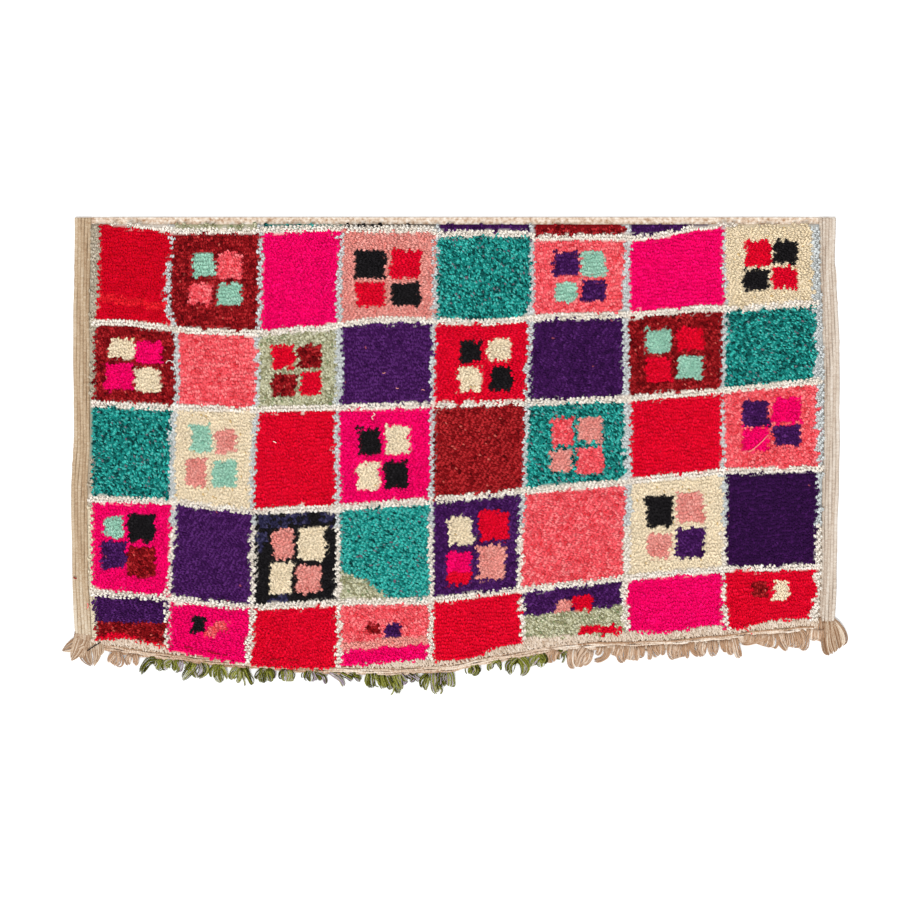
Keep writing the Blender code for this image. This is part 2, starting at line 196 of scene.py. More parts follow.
# The pile: where the knots stand, and how each cut end of yarn leans and is shaped, in millimetres. What is
# named waves is listed as the function of that name reads it, and a spread is a random change.
pile = {
    "height": 16.0,
    "bedShare": 0.66,  # the bed under the ends, as a share of the pile's height
    "lump": 1.3,
    "lumpWaves": [(1, 61, 9, 0), (1, -23, 37, 1.3), (1, 47, 88, 0.4)],
    "rimRound": 6.0,
    "side": 32.0,  # from the woven side to the first knot
    "nearInset": 1,  # from the cloth's near edge to the pile's
    "dyedInset": 3,  # from the chart's last line to where the dyed knots end
    "rimGap": 1.8,  # from the pile's outline to the first knots
    "field": (-760, 770, -450, 460),  # the grid of knots from left to right and from near to far, untrimmed
    "knotWidth": 8.0,
    "knotRow": 7.2,
    "rowWaver": 1.7,
    "rowWaves": [(1, 47, 31, 0), (0.7, 83, -22, 2), (0.5, 190, 57, 4)],
    "readAt": 0.4,  # the chart is read this far from an end's bend to its tip
    "lineRow": 6.2,  # between the two rows of knots in a line across
    "lineCalm": 0.6,  # how much less those two are scattered lengthwise
    "scatterAside": 0.18,  # a knot's random shift sideways, as a share of a knot's width
    "scatter": 0.28,  # and lengthwise, as a share of a row's
    "sink": 1.0,
    "endRoom": 2.3,  # from one end of a knot to the next of its three
    "endFan": 9,  # degrees between them
    "outerBack": 0.5,  # how far the outer two stand back, as a share of that room
    "placeSpread": (0.15, 0.2),  # of an end's place, sideways and lengthwise
    "knotTurn": 8,
    "knotLift": 0.35,
    "ivoryLift": 0.7,  # how far the ivory ends stand over the others
    "knotTone": 0.75,  # a knot's share and an end's share of the yarn's spread of tones
    "endTone": 0.6,
    "topTone": (0.82, 0.1),  # the lightest tone, and how much darker that is in mixed yarns
    "tipShare": 0.5,  # widths at the tip and at the root, as shares of the width at the bend
    "rootShare": 0.8,
    "leanAngle": -50,  # degrees from +X: the pile falls to the right and to the near end
    "leanSpread": 4,
    "clumpTurn": 9,
    "clumpWaves": [(1, 230, 160, 0, 2, 0, 97), (1, -130, 280, 0, 2, 113, 0)],
    "swirl": 12,
    "swirlWaves": [(1, 7.1, 3.3, 0.6), (1, -6.1, 11.3, 2.1), (0.7, 33, 29, 0)],
    "blockTurn": 17,
    "rimPull": 0.8,  # how strongly the ends at the rim lean outwards
    "bendAside": 8,  # degrees that a tip turns away from its own root
    "firstReach": 2.2,
    "firstRise": 2.8,
    "tipReach": 4.3,
    "tipRise": 0.1,
    "halfWidth": 1.85,
    "halfDepth": 1.1,
    "crest": (0.85, -0.5),  # the bend's top, upwards and ahead, in half depths
    "sizeSpread": 0.1,
    "widthSpread": 0.12,
    "rimHeight": 0.45,  # how tall the ends are at the rim, as a share of the others
    "furrowWaves": [(0.2, 140, 330, 0, 3, 60, 0)],
    "furrowFade": [(1, 90, -40, 0)],
    "partingWidth": 0.10,
    "partingWaves": [(1, 31, 12, 0, 2, 0, 17), (1, -19, 27, 0, 2, 23, 0), (0.6, 71, -44, 0)],
    "partingFade": [(0.5, 13, 29, 1)],
    "partingDrop": 1.2,
    # Painted shade in a parting: how much darker its ends are coloured, and how much deeper their painted
    # depth shade reads
    "partingShade": (0.2, 0.4),  # how much darker and how much deeper the ends in a parting look
    "wobbleRow": 1.4,  # how far one row of knots shifts a border sideways
    "wobbleColumn": 0.9,
    "wobblePatch": 38,
    "bedColumns": 176,
    "bedRows": 112,
    "bedStart": -400,  # where the bed's sides start to be read
    "bedRim": 1,  # how far the bed goes on past the pile's outline
    "bedSink": 0.4,  # how far its underside is let into the weave
}

# The seven points of an end, in the order of yarnEnds: two at the root, three at the bend and two at the tip
endPoints = {
    "depth": [0, 0, 0.75, 0.95, 0.75, 1.0, 1.0],  # from 0 deep in the pile to 1 at the tips
    "across": [-1.3, 1.3, -1.3, 0, 1.3, -0.65, 0.65],  # where the streaks are read, across it and along it
    "lengthwise": [0, 0, 0.6, 0.6, 0.6, 1.6, 1.6],
    "quads": [[0, 2, 4, 1], [2, 5, 6, 4]],
    "threes": [[0, 1, 3], [1, 4, 3], [0, 3, 2], [3, 4, 6], [3, 6, 5], [3, 5, 2]],
}

# Yarn colours from 0 to 255: dark, middle and light ends, how far the ends spread between them, and a fleck
# with its share of the ends. Heather is how mixed each end is in itself.
yarns = {
    "red": {"slot": "pile_red", "tones": [(198, 3, 26), (224, 6, 41), (234, 16, 55)], "spread": 0.16},
    "scarlet": {"slot": "pile_red", "tones": [(204, 14, 30), (230, 26, 42), (244, 44, 54)], "spread": 0.25},
    "maroon": {"slot": "pile_maroon", "tones": [(78, 4, 8), (140, 18, 24), (190, 46, 50)],
               "spread": 0.32, "fleck": (200, 90, 80), "share": 0.01},
    "pink": {"slot": "pile_pink", "tones": [(214, 1, 84), (244, 2, 100), (255, 14, 118)], "spread": 0.20},
    "coral": {"slot": "pile_coral", "tones": [(214, 48, 58), (246, 92, 102), (255, 144, 146)],
              "spread": 0.30},
    "rose": {"slot": "pile_rose", "tones": [(210, 112, 104), (231, 149, 139), (240, 172, 162)],
             "spread": 0.2},
    "teal": {"slot": "pile_teal", "tones": [(6, 30, 36), (27, 138, 131), (74, 220, 206)],
             "spread": 0.46, "fleck": (112, 88, 104), "share": 0.04, "heather": 0.5},
    "mint": {"slot": "pile_mint", "tones": [(118, 172, 150), (153, 202, 180), (174, 216, 196)],
             "spread": 0.2},
    "sage": {"slot": "pile_sage", "tones": [(128, 125, 88), (193, 190, 156), (226, 223, 198)],
             "spread": 0.54, "fleck": (116, 134, 90), "share": 0.05, "heather": 0.5},
    "purple": {"slot": "pile_purple", "tones": [(44, 14, 58), (66, 24, 84), (92, 44, 114)],
               "spread": 0.24, "fleck": (150, 70, 90), "share": 0.002},
    "black": {"slot": "pile_black", "tones": [(16, 15, 16), (28, 26, 28), (40, 38, 40)], "spread": 0.12},
    "navy": {"slot": "pile_navy", "tones": [(28, 27, 46), (48, 46, 76), (74, 71, 104)], "spread": 0.26},
    "cream": {"slot": "pile_cream", "tones": [(222, 202, 166), (238, 220, 189), (245, 230, 204)],
              "spread": 0.1, "fleck": (206, 176, 124), "share": 0.015},
    "ivory": {"slot": "pile_ivory", "tones": [(211, 198, 182), (236, 226, 213), (248, 243, 235)],
              "spread": 0.2},
    "greyBlue": {"slot": "pile_grey_blue", "tones": [(176, 180, 178), (202, 206, 205), (216, 220, 221)],
                 "spread": 0.2},
    "stone": {"slot": "undyed_wool", "tones": [(152, 140, 121), (180, 168, 148), (200, 190, 174)],
              "spread": 0.2},
    "oat": {"slot": "undyed_wool", "tones": [(190, 172, 144), (222, 208, 181), (237, 227, 208)],
            "spread": 0.2},
    "undyed": {"slot": "undyed_wool", "tones": [(184, 156, 128), (216, 196, 172), (234, 220, 202)],
               "spread": 0.32},
}
yarnNames = list(yarns)

# Spun yarns in the same way, strand by strand
spun = {
    "knots": {"tones": [(158, 132, 108), (198, 179, 160), (218, 204, 190)]},
    "cord": {"tones": [(158, 122, 93), (205, 185, 165), (230, 220, 208)]},
    "tassels": {"tones": [(124, 88, 62), (178, 153, 128), (214, 200, 182)]},
    "left": {"tones": [(144, 115, 87), (180, 158, 131), (202, 188, 168)]},
    "right": {"tones": [(158, 136, 118), (197, 184, 169), (215, 208, 201)]},
    "green": {"tones": [(38, 34, 10), (92, 94, 26), (166, 168, 80)], "fleck": (158, 142, 158),
              "heather": 0.38},
}


def toLinear(colour):
    # Picture values from 0 to 255, as linear light: the sRGB curve
    value = np.array(colour, dtype=float) / 255
    return np.where(value <= 0.04045, value / 12.92, ((value + 0.055) / 1.055) ** 2.4)


def table(points):
    # The two columns of a list of points, in metres
    return np.array(points, dtype=float).T * mm


def along(points, where):
    # A line through the points, read at these places, for points that rise or fall steadily
    first, second = table(points)
    if first[0] > first[-1]:
        first, second = first[::-1], second[::-1]
    return np.interp(where, first, second)


def nearEdge(x):
    # The woven near edge at x
    return along(cloth["nearEdge"], x)


def sideX(y, side):
    # The woven side at y: side 0 is the left one, and 1 the right one
    stations = [(row[0], row[1 + side]) for row in cloth["sides"]]
    return along(stations, y)


def waves(x, y, rows):
    # Waves that cross: the sum of each row's height times the sine of its turns along x and along y plus its
    # phase. Three more numbers are the height and the turns of a slower wave that sways the phase.
    total = 0
    for height, turnsX, turnsY, phase, *slower in rows:
        if slower:
            phase = phase + waves(x, y, [(*slower, 0)])
        total = total + height * np.sin(turnsX * x + turnsY * y + phase)
    return total


attributeKinds = {1: ("FLOAT", "value"), 3: ("FLOAT_VECTOR", "vector"), 4: ("FLOAT_COLOR", "color")}


def makeMesh(name, points, faceSets, attributes=None, flatMap=False):
    # One smooth mesh from an array of points and arrays of faces, one row a face
    corners = np.concatenate([faces.ravel() for faces in faceSets]).astype(np.int32)
    sizes = np.concatenate([np.full(len(faces), faces.shape[1]) for faces in faceSets])
    starts = np.concatenate([[0], np.cumsum(sizes)[:-1]]).astype(np.int32)
    mesh = bpy.data.meshes.new(name)
    mesh.vertices.add(len(points))
    mesh.vertices.foreach_set("co", np.asarray(points, dtype=np.float32).ravel())
    mesh.loops.add(len(corners))
    mesh.loops.foreach_set("vertex_index", corners)
    mesh.polygons.add(len(sizes))
    mesh.polygons.foreach_set("loop_start", starts)
    mesh.update(calc_edges=True)
    mesh.polygons.foreach_set("use_smooth", np.ones(len(sizes), dtype=bool))
    for label, values in (attributes or {}).items():
        values = np.asarray(values, dtype=np.float32).reshape(len(points), -1)
        kind, field = attributeKinds[values.shape[1]]
        layer = mesh.attributes.new(label, kind, "POINT")
        layer.data.foreach_set(field, values.ravel())
    if flatMap:  # seen from above, over the whole piece
        low = points[:, :2].min(axis=0)
        span = (points[:, :2].max(axis=0) - low).max()
        layer = mesh.uv_layers.new(name="OFBake")
        layer.data.foreach_set("uv", ((points[corners, :2] - low) / span).astype(np.float32).ravel())
    made = bpy.data.objects.new(name, mesh)
    bpy.context.collection.objects.link(made)
    return made


def gridFaces(rows, columns):
    # Quads of a grid of points, counted row by row. They face up where x rises along a row, and y from row to
    # row.
    first = (np.arange(rows - 1)[:, None] * columns + np.arange(columns - 1)[None, :]).ravel()
    return np.column_stack([first, first + 1, first + columns + 1, first + columns])


def gridRim(rows, columns):
    # The grid's outer points in order, counterclockwise from the first
    bottom = np.arange(columns)
    right = np.arange(1, rows) * columns + columns - 1
    top = (rows - 1) * columns + np.arange(columns - 2, -1, -1)
    left = np.arange(rows - 2, 0, -1) * columns
    return np.concatenate([bottom, right, top, left])


def closeBelow(points, rows, columns, floor):
    # A grid of points as a closed slab: a wall from its rim down to the floor's height, and one face below.
    # Its points, its faces and its rim.
    rim = gridRim(rows, columns)
    foot = points[rim] * [1, 1, 0] + [0, 0, floor]
    low = len(points) + np.arange(len(rim))
    wall = np.column_stack([low, np.roll(low, -1), np.roll(rim, -1), rim])
    return np.concatenate([points, foot]), [gridFaces(rows, columns), wall, low[None, ::-1]], rim


# The finish of all the wool, with its sizes in metres
woolLook = {
    "roughness": 0.95,
    "gloss": 0.04,
    "sheen": 0.12,
    "sheenRoughness": 0.5,
    # Fine hairs: the noise's scale, the bump's strength and its height
    "pileHairs": (900, 0.5, 0.0006),
    "bedHairs": (500, 0.8, 0.001),
    "yarnHairs": (1500, 0.6, 0.0005),
    "hairDetail": {"Detail": 4, "Roughness": 0.7},
    # Uneven dye, and for the bed painted shade too: the noise's stretch along x, y and z, the darkest and
    # lightest brightness, and the detail
    "pileDye": ((44, 60, 44), 0.91, 1.08, 4),
    # The bed's low range is painted shade deep between the ends, with uneven dye over it
    "bedDyeAndShade": ((260, 260, 260), 0.66, 0.96, 3),
    "dyeRange": {"From Min": 0.3, "From Max": 0.7},
    "bedBloom": (120, 90, 80),
    # Painted shade: the colour's brightness deep in the pile, and at the tips
    "pileDepthShade": {"To Min": 0.92, "To Max": 1.02},  # the brightness deep in the pile, and at the tips
    "strandNoise": {"Scale": 1.6, "Detail": 2},
    "strandRange": {"From Min": 0.25, "From Max": 0.75},
    "pileHeather": 0.12,  # where a yarn gives none
    "yarnHeather": 0.3,
    "pileStops": (0, 0.5, 0.95, 1),  # the tones of the dark, middle and light colours and of the fleck
    "yarnStops": (0, 0.5, 0.93, 0.97),
    # A rib of weft every 3 mm
    "weft": {"Scale": 1 / 0.003 / (2 * np.pi), "Distortion": 2.5, "Detail": 3, "Detail Scale": 3},
    "weftRelief": (0.6, 0.0008),
    "mottle": {"Scale": 160, "Detail": 5},
    "mottleStops": (0.3, 0.5, 0.7),
}


def newMaterial(name):
    # A material with its node tree and its shader
    material = bpy.data.materials.new(name)
    material.use_nodes = True
    return material, material.node_tree, material.node_tree.nodes["Principled BSDF"]


def addNode(tree, kind, settings=()):
    # A shader node of this kind, with these values in its sockets
    node = tree.nodes.new("ShaderNode" + kind)
    for socket, value in dict(settings).items():
        node.inputs[socket].default_value = value
    return node


def readAttribute(tree, name):
    # The node that reads one of the mesh's attributes
    node = addNode(tree, "Attribute")
    node.attribute_name = name
    return node


def setWool(shader, bloom, sheen=woolLook["sheen"]):
    # The finish that all the wool shares: matt, with a faint bloom of its own colour at grazing angles
    shader.inputs["Roughness"].default_value = woolLook["roughness"]
    shader.inputs["Specular IOR Level"].default_value = woolLook["gloss"]
    shader.inputs["Sheen Weight"].default_value = sheen
    shader.inputs["Sheen Roughness"].default_value = woolLook["sheenRoughness"]
    shader.inputs["Sheen Tint"].default_value = (*toLinear(bloom), 1)


def raiseBy(tree, shader, height, strength, distance):
    # A height from 0 to 1 that raises the surface by this distance
    bump = addNode(tree, "Bump", {"Strength": strength, "Distance": distance})
    tree.links.new(height, bump.inputs["Height"])
    tree.links.new(bump.outputs["Normal"], shader.inputs["Normal"])


def fibreBump(tree, shader, scale, strength, distance):
    # Fine hairs: noise on Object coordinates raises the surface
    place = addNode(tree, "TexCoord")
    fine = addNode(tree, "TexNoise", {"Scale": scale, **woolLook["hairDetail"]})
    tree.links.new(place.outputs["Object"], fine.inputs["Vector"])
    raiseBy(tree, shader, fine.outputs["Fac"], strength, distance)
    return place


def streaks(tree, place, stretch, low, high, detail):
    # Noise on Object coordinates, finer the higher the stretch, as a brightness from low to high: uneven dye,
    # and in the bed painted shade too
    turn = addNode(tree, "Mapping", {"Scale": stretch})
    noise = addNode(tree, "TexNoise", {"Scale": 1, "Detail": detail})
    level = addNode(tree, "MapRange", {**woolLook["dyeRange"], "To Min": low, "To Max": high})
    tree.links.new(place.outputs["Object"], turn.inputs["Vector"])
    tree.links.new(turn.outputs["Vector"], noise.inputs["Vector"])
    tree.links.new(noise.outputs["Fac"], level.inputs["Value"])
    return level.outputs["Result"]


def toneRamp(tree, source, stops):
    # A colour for each tone from 0 to 1
    ramp = addNode(tree, "ValToRGB")
    elements = ramp.color_ramp.elements
    while len(elements) < len(stops):
        elements.new(0.5)
    for element, (position, colour) in zip(elements, stops):
        element.position = position
        element.color = (*toLinear(colour), 1)
    tree.links.new(source, ramp.inputs["Fac"])
    return ramp.outputs["Color"]


def scaled(tree, colour, factor):
    # The colour times a number
    product = addNode(tree, "VectorMath")
    product.operation = "SCALE"
    tree.links.new(colour, product.inputs[0])
    tree.links.new(factor, product.inputs["Scale"])
    return product.outputs["Vector"]


def strandTone(tree, amount):
    # A strand's own tone plus noise, read across it, along it and at its number, from -amount to amount
    tone = readAttribute(tree, "tone")
    strand = readAttribute(tree, "strand")
    noise = addNode(tree, "TexNoise", woolLook["strandNoise"])
    spread = addNode(tree, "MapRange", {**woolLook["strandRange"], "To Min": -amount, "To Max": amount})
    total = addNode(tree, "Math")
    tree.links.new(strand.outputs["Vector"], noise.inputs["Vector"])
    tree.links.new(noise.outputs["Fac"], spread.inputs["Value"])
    tree.links.new(tone.outputs["Fac"], total.inputs[0])
    tree.links.new(spread.outputs["Result"], total.inputs[1])
    return total.outputs["Value"]


def pileWool(name, yarn):
    # Wool of the cut pile: each end's own tone picks its colour, uneven dye changes that, and painted shade
    # darkens it deep in the pile
    material, tree, shader = newMaterial("wool" + name[0].upper() + name[1:])
    light = yarn["tones"][-1]
    setWool(shader, light)
    place = fibreBump(tree, shader, *woolLook["pileHairs"])
    stops = zip(woolLook["pileStops"], [*yarn["tones"], yarn.get("fleck", light)])
    colour = toneRamp(tree, strandTone(tree, yarn.get("heather", woolLook["pileHeather"])), list(stops))
    colour = scaled(tree, colour, streaks(tree, place, *woolLook["pileDye"]))
    # Painted shade: the colour is darker towards the roots, deep in the pile
    depth = readAttribute(tree, "depth")
    level = addNode(tree, "MapRange", woolLook["pileDepthShade"])
    tree.links.new(depth.outputs["Fac"], level.inputs["Value"])
    colour = scaled(tree, colour, level.outputs["Result"])
    tree.links.new(colour, shader.inputs["Base Color"])
    return material


def bedWool():
    # Wool deep in the pile, in the colours of the chart, darker than the ends by painted shade, with uneven
    # dye
    material, tree, shader = newMaterial("woolBed")
    setWool(shader, woolLook["bedBloom"], 0)
    place = fibreBump(tree, shader, *woolLook["bedHairs"])
    yarnColour = readAttribute(tree, "yarnColour")
    shade = streaks(tree, place, *woolLook["bedDyeAndShade"])
    tree.links.new(scaled(tree, yarnColour.outputs["Color"], shade), shader.inputs["Base Color"])
    return material


def spunWool(name, facts):
    # Spun yarn: each strand's tone and its fine streaks pick the colour
    material, tree, shader = newMaterial("wool" + name[0].upper() + name[1:] + "Yarn")
    light = facts["tones"][-1]
    setWool(shader, light)
    fibreBump(tree, shader, *woolLook["yarnHairs"])
    stops = zip(woolLook["yarnStops"], [*facts["tones"], facts.get("fleck", light)])
    colour = toneRamp(tree, strandTone(tree, facts.get("heather", woolLook["yarnHeather"])), list(stops))
    tree.links.new(colour, shader.inputs["Base Color"])
    return material


def weaveWool():
    # The flat weave: undyed wool with ribs of weft that turn over the warp, by waves on Object coordinates
    material, tree, shader = newMaterial("woolWeave")
    tones = spun["cord"]["tones"]
    setWool(shader, tones[-1])
    place = addNode(tree, "TexCoord")
    weft = addNode(tree, "TexWave", woolLook["weft"])
    weft.bands_direction = "Y"
    tree.links.new(place.outputs["Object"], weft.inputs["Vector"])
    raiseBy(tree, shader, weft.outputs["Fac"], *woolLook["weftRelief"])
    mottle = addNode(tree, "TexNoise", woolLook["mottle"])
    tree.links.new(place.outputs["Object"], mottle.inputs["Vector"])
    colour = toneRamp(tree, mottle.outputs["Fac"], list(zip(woolLook["mottleStops"], tones)))
    tree.links.new(colour, shader.inputs["Base Color"])
    return material


# The chart, with random shifts for more rows, columns and patches than the rug has

def knotNumber(places, start, size):
    # Which knot or patch of this size each place falls on, counted from the start
    return np.floor((places - start * mm) / (size * mm)).astype(int)


def chartYarn(x, y):
    # The yarn's number at each place: blocks, bands and lines, with borders that shift knot by knot. Also the
    # block's number, and whether the place is on a line across the rug
    cornerX, cornerY = chart["corner"]
    row, column = knotNumber(y, cornerY, pile["knotRow"]), knotNumber(x, cornerX, pile["knotWidth"])
    patchX, patchY = knotNumber(x, cornerX, pile["wobblePatch"]), knotNumber(y, cornerY, pile["wobblePatch"])
    byRow, byColumn = rowShift[row, patchX], columnShift[column, patchY]
    placeX = x + byRow * pile["wobbleRow"] * mm
    placeY = y + byColumn * pile["wobbleColumn"] * mm
    lineX = np.stack([along(line, placeY) for line in chart["alongLines"]])
    lineY = np.stack([along(line, placeX) for line in chart["acrossLines"]])
    blockColumn = np.clip((placeX > lineX).sum(axis=0) - 1, 0, blockColumns - 1)
    blockRow = np.clip((placeY < lineY).sum(axis=0), 0, blockRows - 1)
    block = blockRow * blockColumns + blockColumn
    yarn = grounds[block]
    for bandRow, bandColumn, name, line in chart["bands"]:
        inside = (blockRow == bandRow) & (blockColumn == bandColumn) & (placeY < along(line, placeX))
        yarn[inside] = yarnNames.index(name)
    for name, boxes in chart["blocks"].items():
        for left, right, near, far in boxes:
            inset = chart["blockInset"]
            inside = (placeX > (left + inset) * mm) & (placeX < (right - inset) * mm)
            inside &= (placeY > near * mm) & (placeY < far * mm)
            yarn[inside] = yarnNames.index(name)
    for left, right, near, far in chart["navyPatches"]:
        navy = (x > left * mm) & (x < right * mm) & (y > near * mm) & (y < far * mm)
        navy &= (yarn == yarnNames.index("black")) & (byRow + byColumn > chart["navyFrom"])
        yarn[navy] = yarnNames.index("navy")
    half = np.full(len(lineX), chart["alongHalf"])
    half[[0, -1]] = chart["outerHalf"]
    swellColumn, swellRow = chart["lineSwell"]
    swell = 1 + swellColumn * columnShift[column, patchX % chart["swellPatches"]] + swellRow * byRow
    onAlong = (np.abs(placeX - lineX) < half[:, None] * mm * swell).any(axis=0)
    onAcross = (np.abs(placeY - lineY[:-1]) < chart["acrossHalf"] * mm * swell).any(axis=0)
    outside = (placeX < lineX[0]) | (placeX > lineX[-1])
    upper = y > chart["ivoryBelow"] * mm
    yarn[(onAlong | outside) & upper] = yarnNames.index("greyBlue")
    yarn[(onAlong | outside) & ~upper] = yarnNames.index("ivory")
    leftmost = placeX < lineX[0] + chart["outerHalf"] * mm * swell
    yarn[leftmost] = yarnNames.index("stone")
    yarn[leftmost & (y < chart["oatBelow"] * mm)] = yarnNames.index("oat")
    yarn[onAcross & ~outside] = yarnNames.index("ivory")
    yarn[placeY < lineY[-1]] = yarnNames.index("undyed")
    return yarn, block, onAcross & ~outside


rowShift = np.clip(shuffle.normal(size=(260, 60)), -2, 2)
columnShift = np.clip(shuffle.normal(size=(300, 60)), -2, 2)
blockRows, blockColumns = len(chart["grounds"]), len(chart["grounds"][0])
blockTurn = np.clip(shuffle.normal(size=blockRows * blockColumns), -1.5, 1.5)
grounds = np.array([yarnNames.index(name) for names in chart["grounds"] for name in names])


# The pile's bed

def undyedFrom(x):
    # Where the dyed knots end and the undyed ones begin, with a little overlap
    return along(chart["acrossLines"][-1], x) + pile["dyedInset"] * mm


def pileNear(x):
    # Where the pile ends at the near side: the cloth's edge, or further out where dyed ends hang over it
    return np.minimum(nearEdge(x) + pile["nearInset"] * mm, undyedFrom(x))


def pileFar():
    # Where the pile ends at the far side: at the hem
    return (cloth["farEdge"] - cloth["hemWidth"]) * mm


def rimDistance(x, y):
    # How far inside the pile's outline a place is, and the direction from it to the nearest side
    gaps = np.stack([
        x - sideX(y, 0) - pile["side"] * mm,
        sideX(y, 1) - pile["side"] * mm - x,
        y - pileNear(x),
        pileFar() - y,
    ])
    outward = np.array([[-1, 0], [1, 0], [0, -1], [0, 1]], dtype=float)
    return gaps.min(axis=0), outward[gaps.argmin(axis=0)]


def fullness(x, y):
    # 0 at the pile's rim, rising as a quarter of a circle to 1 inside it
    share = np.clip(rimDistance(x, y)[0] / (pile["rimRound"] * mm), 0, 1)
    return np.sqrt(1 - (1 - share) ** 2)


def lump(x, y):
    # Three waves that cross, as the top of the solid has
    share = (y - cloth["nearMean"] * mm) / (cloth["length"] * mm)
    return pile["lump"] * mm * waves(x, share, pile["lumpWaves"]) / 3


def bedHeight(x, y):
    # The weave's height, plus a share of the pile's, with its lumps, rounded off at the rim
    weave = cloth["weaveHeight"] * mm
    rise = (pile["height"] * mm - weave) * pile["bedShare"] + lump(x, y)
    return weave + rise * fullness(x, y)


def makeBed():
    # Grid from side to side and from the near end to the far one, closed below by one flat face
    u = np.linspace(0, 1, pile["bedColumns"])
    v = np.linspace(0, 1, pile["bedRows"])
    u, v = np.meshgrid(u, v)
    start = pile["bedStart"] * mm
    y = start + v * (pileFar() - start)
    inset = (pile["side"] - pile["bedRim"]) * mm
    left, right = sideX(y, 0) + inset, sideX(y, 1) - inset
    x = left + u * (right - left)
    near = pileNear(x) - pile["bedRim"] * mm
    y = near + v * (pileFar() - near)
    x, y = x.ravel(), y.ravel()
    colours = np.array([toLinear(yarns[name]["tones"][1]) for name in yarnNames])[chartYarn(x, y)[0]]
    colours = np.column_stack([colours, np.ones(len(colours))])
    top = np.column_stack([x, y, bedHeight(x, y)])
    floor = (cloth["weaveHeight"] - pile["bedSink"]) * mm
    points, faces, rim = closeBelow(top, pile["bedRows"], pile["bedColumns"], floor)
    colours = np.concatenate([colours, colours[rim]])
    bed = makeMesh("pileBed", points, faces, {"yarnColour": colours}, flatMap=True)
    bed.data.materials.append(bedWool())
    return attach(bed, "root")


# The cut ends of yarn

def placeKnots():
    # Staggered rows of knots from side to side, which waver and are shifted a little at random, inside the
    # pile's outline. The lines across the rug have two rows of their own, which follow them.
    stepX, stepY = pile["knotWidth"] * mm, pile["knotRow"] * mm
    left, right, near, far = (side * mm for side in pile["field"])
    rows = np.arange(near, far, stepY)
    columns = np.arange(left, right, stepX)
    x, y = np.meshgrid(columns, rows)
    x = (x + (np.arange(len(rows)) % 2)[:, None] * stepX / 2).ravel()
    y = y.ravel()
    y = y + pile["rowWaver"] * mm * waves(x, y, pile["rowWaves"])
    flat = leanDirection(x, y, chartYarn(x, y)[1])
    seen = (pile["firstReach"] + pile["readAt"] * pile["tipReach"]) * mm
    free = ~chartYarn(x + flat[:, 0] * seen, y + flat[:, 1] * seen)[2]
    x, y, flat = x[free], y[free], flat[free]
    lineX, lineY = [], []
    for line in chart["acrossLines"][:-1]:
        for side in (-0.5, 0.5):
            lineX.append(columns + side * stepX / 2)
            lineY.append(along(line, lineX[-1]) + side * pile["lineRow"] * mm)
    lineX, lineY = np.concatenate(lineX), np.concatenate(lineY)
    lineX, lineY = (values[chartYarn(lineX, lineY)[2]] for values in (lineX, lineY))
    lineFlat = leanDirection(lineX, lineY, chartYarn(lineX, lineY)[1])
    x = np.concatenate([x, lineX - lineFlat[:, 0] * seen])
    y = np.concatenate([y, lineY - lineFlat[:, 1] * seen])
    flat = np.concatenate([flat, lineFlat])
    yarn, block = chartYarn(x + flat[:, 0] * seen, y + flat[:, 1] * seen)[:2]
    onLine = np.arange(len(x)) >= len(x) - len(lineX)
    yarn[onLine] = yarnNames.index("ivory")
    calm = 1 - pile["lineCalm"] * onLine
    x = x + shuffle.uniform(-1, 1, len(x)) * stepX * pile["scatterAside"]
    y = y + shuffle.uniform(-1, 1, len(y)) * stepY * pile["scatter"] * calm
    inside = (rimDistance(x, y)[0] > pile["rimGap"] * mm) & (yarn != yarnNames.index("undyed"))
    return [values[inside] for values in (x, y, yarn, block, flat)]


def splitKnots(knots):
    # Three ends for each knot, side by side across its heading and fanned out, with what they share
    x, y, yarn, block, flat = [np.repeat(values, 3, axis=0) for values in knots]
    count = len(knots[0])
    which = np.tile([-1, 0, 1], count)
    sideways, lengthwise = pile["placeSpread"]
    offset = pile["endRoom"] * mm * (which + shuffle.normal(0, sideways, 3 * count))
    outer = pile["outerBack"] * np.abs(which)
    back = pile["endRoom"] * mm * (outer + shuffle.normal(0, lengthwise, 3 * count))
    x = x - flat[:, 1] * offset - flat[:, 0] * back
    y = y + flat[:, 0] * offset - flat[:, 1] * back
    flat = turned(flat, pile["endFan"] * which)
    lift = np.repeat(shuffle.normal(0, pile["knotLift"], count), 3)
    lift = lift + pile["ivoryLift"] * (yarn == yarnNames.index("ivory"))
    tone = np.repeat(shuffle.normal(size=count), 3)
    return x, y, yarn, block, flat, lift, tone


def partings(x, y):
    # 1 along winding lines where the pile parts, and 0 away from them: where a sum of waves is near zero
    share = np.exp(-((waves(x, y, pile["partingWaves"]) / pile["partingWidth"]) ** 2))
    return share * (0.5 + waves(x, y, pile["partingFade"]))


def leanDirection(x, y, block):
    # Mostly one way, turning with the block and slowly over the rug, and outwards at the rim
    angle = pile["leanAngle"] + pile["swirl"] * waves(x, y, pile["swirlWaves"])
    angle = angle + pile["blockTurn"] * blockTurn[block] + pile["clumpTurn"] * waves(x, y, pile["clumpWaves"])
    angle = angle + shuffle.normal(size=len(x)) * pile["knotTurn"]
    heading = np.column_stack([np.cos(np.radians(angle)), np.sin(np.radians(angle))])
    distance, outward = rimDistance(x, y)
    pull = np.clip(1 - distance / (pile["rimRound"] * mm), 0, 1)[:, None] * pile["rimPull"]
    heading = heading * (1 - pull / 2) + outward * pull
    return heading / np.linalg.norm(heading, axis=1)[:, None]


def turned(flat, degrees):
    # Flat headings, turned by this many degrees each
    cosine, sine = np.cos(np.radians(degrees)), np.sin(np.radians(degrees))
    return np.column_stack([flat[:, 0] * cosine - flat[:, 1] * sine, flat[:, 0] * sine + flat[:, 1] * cosine])


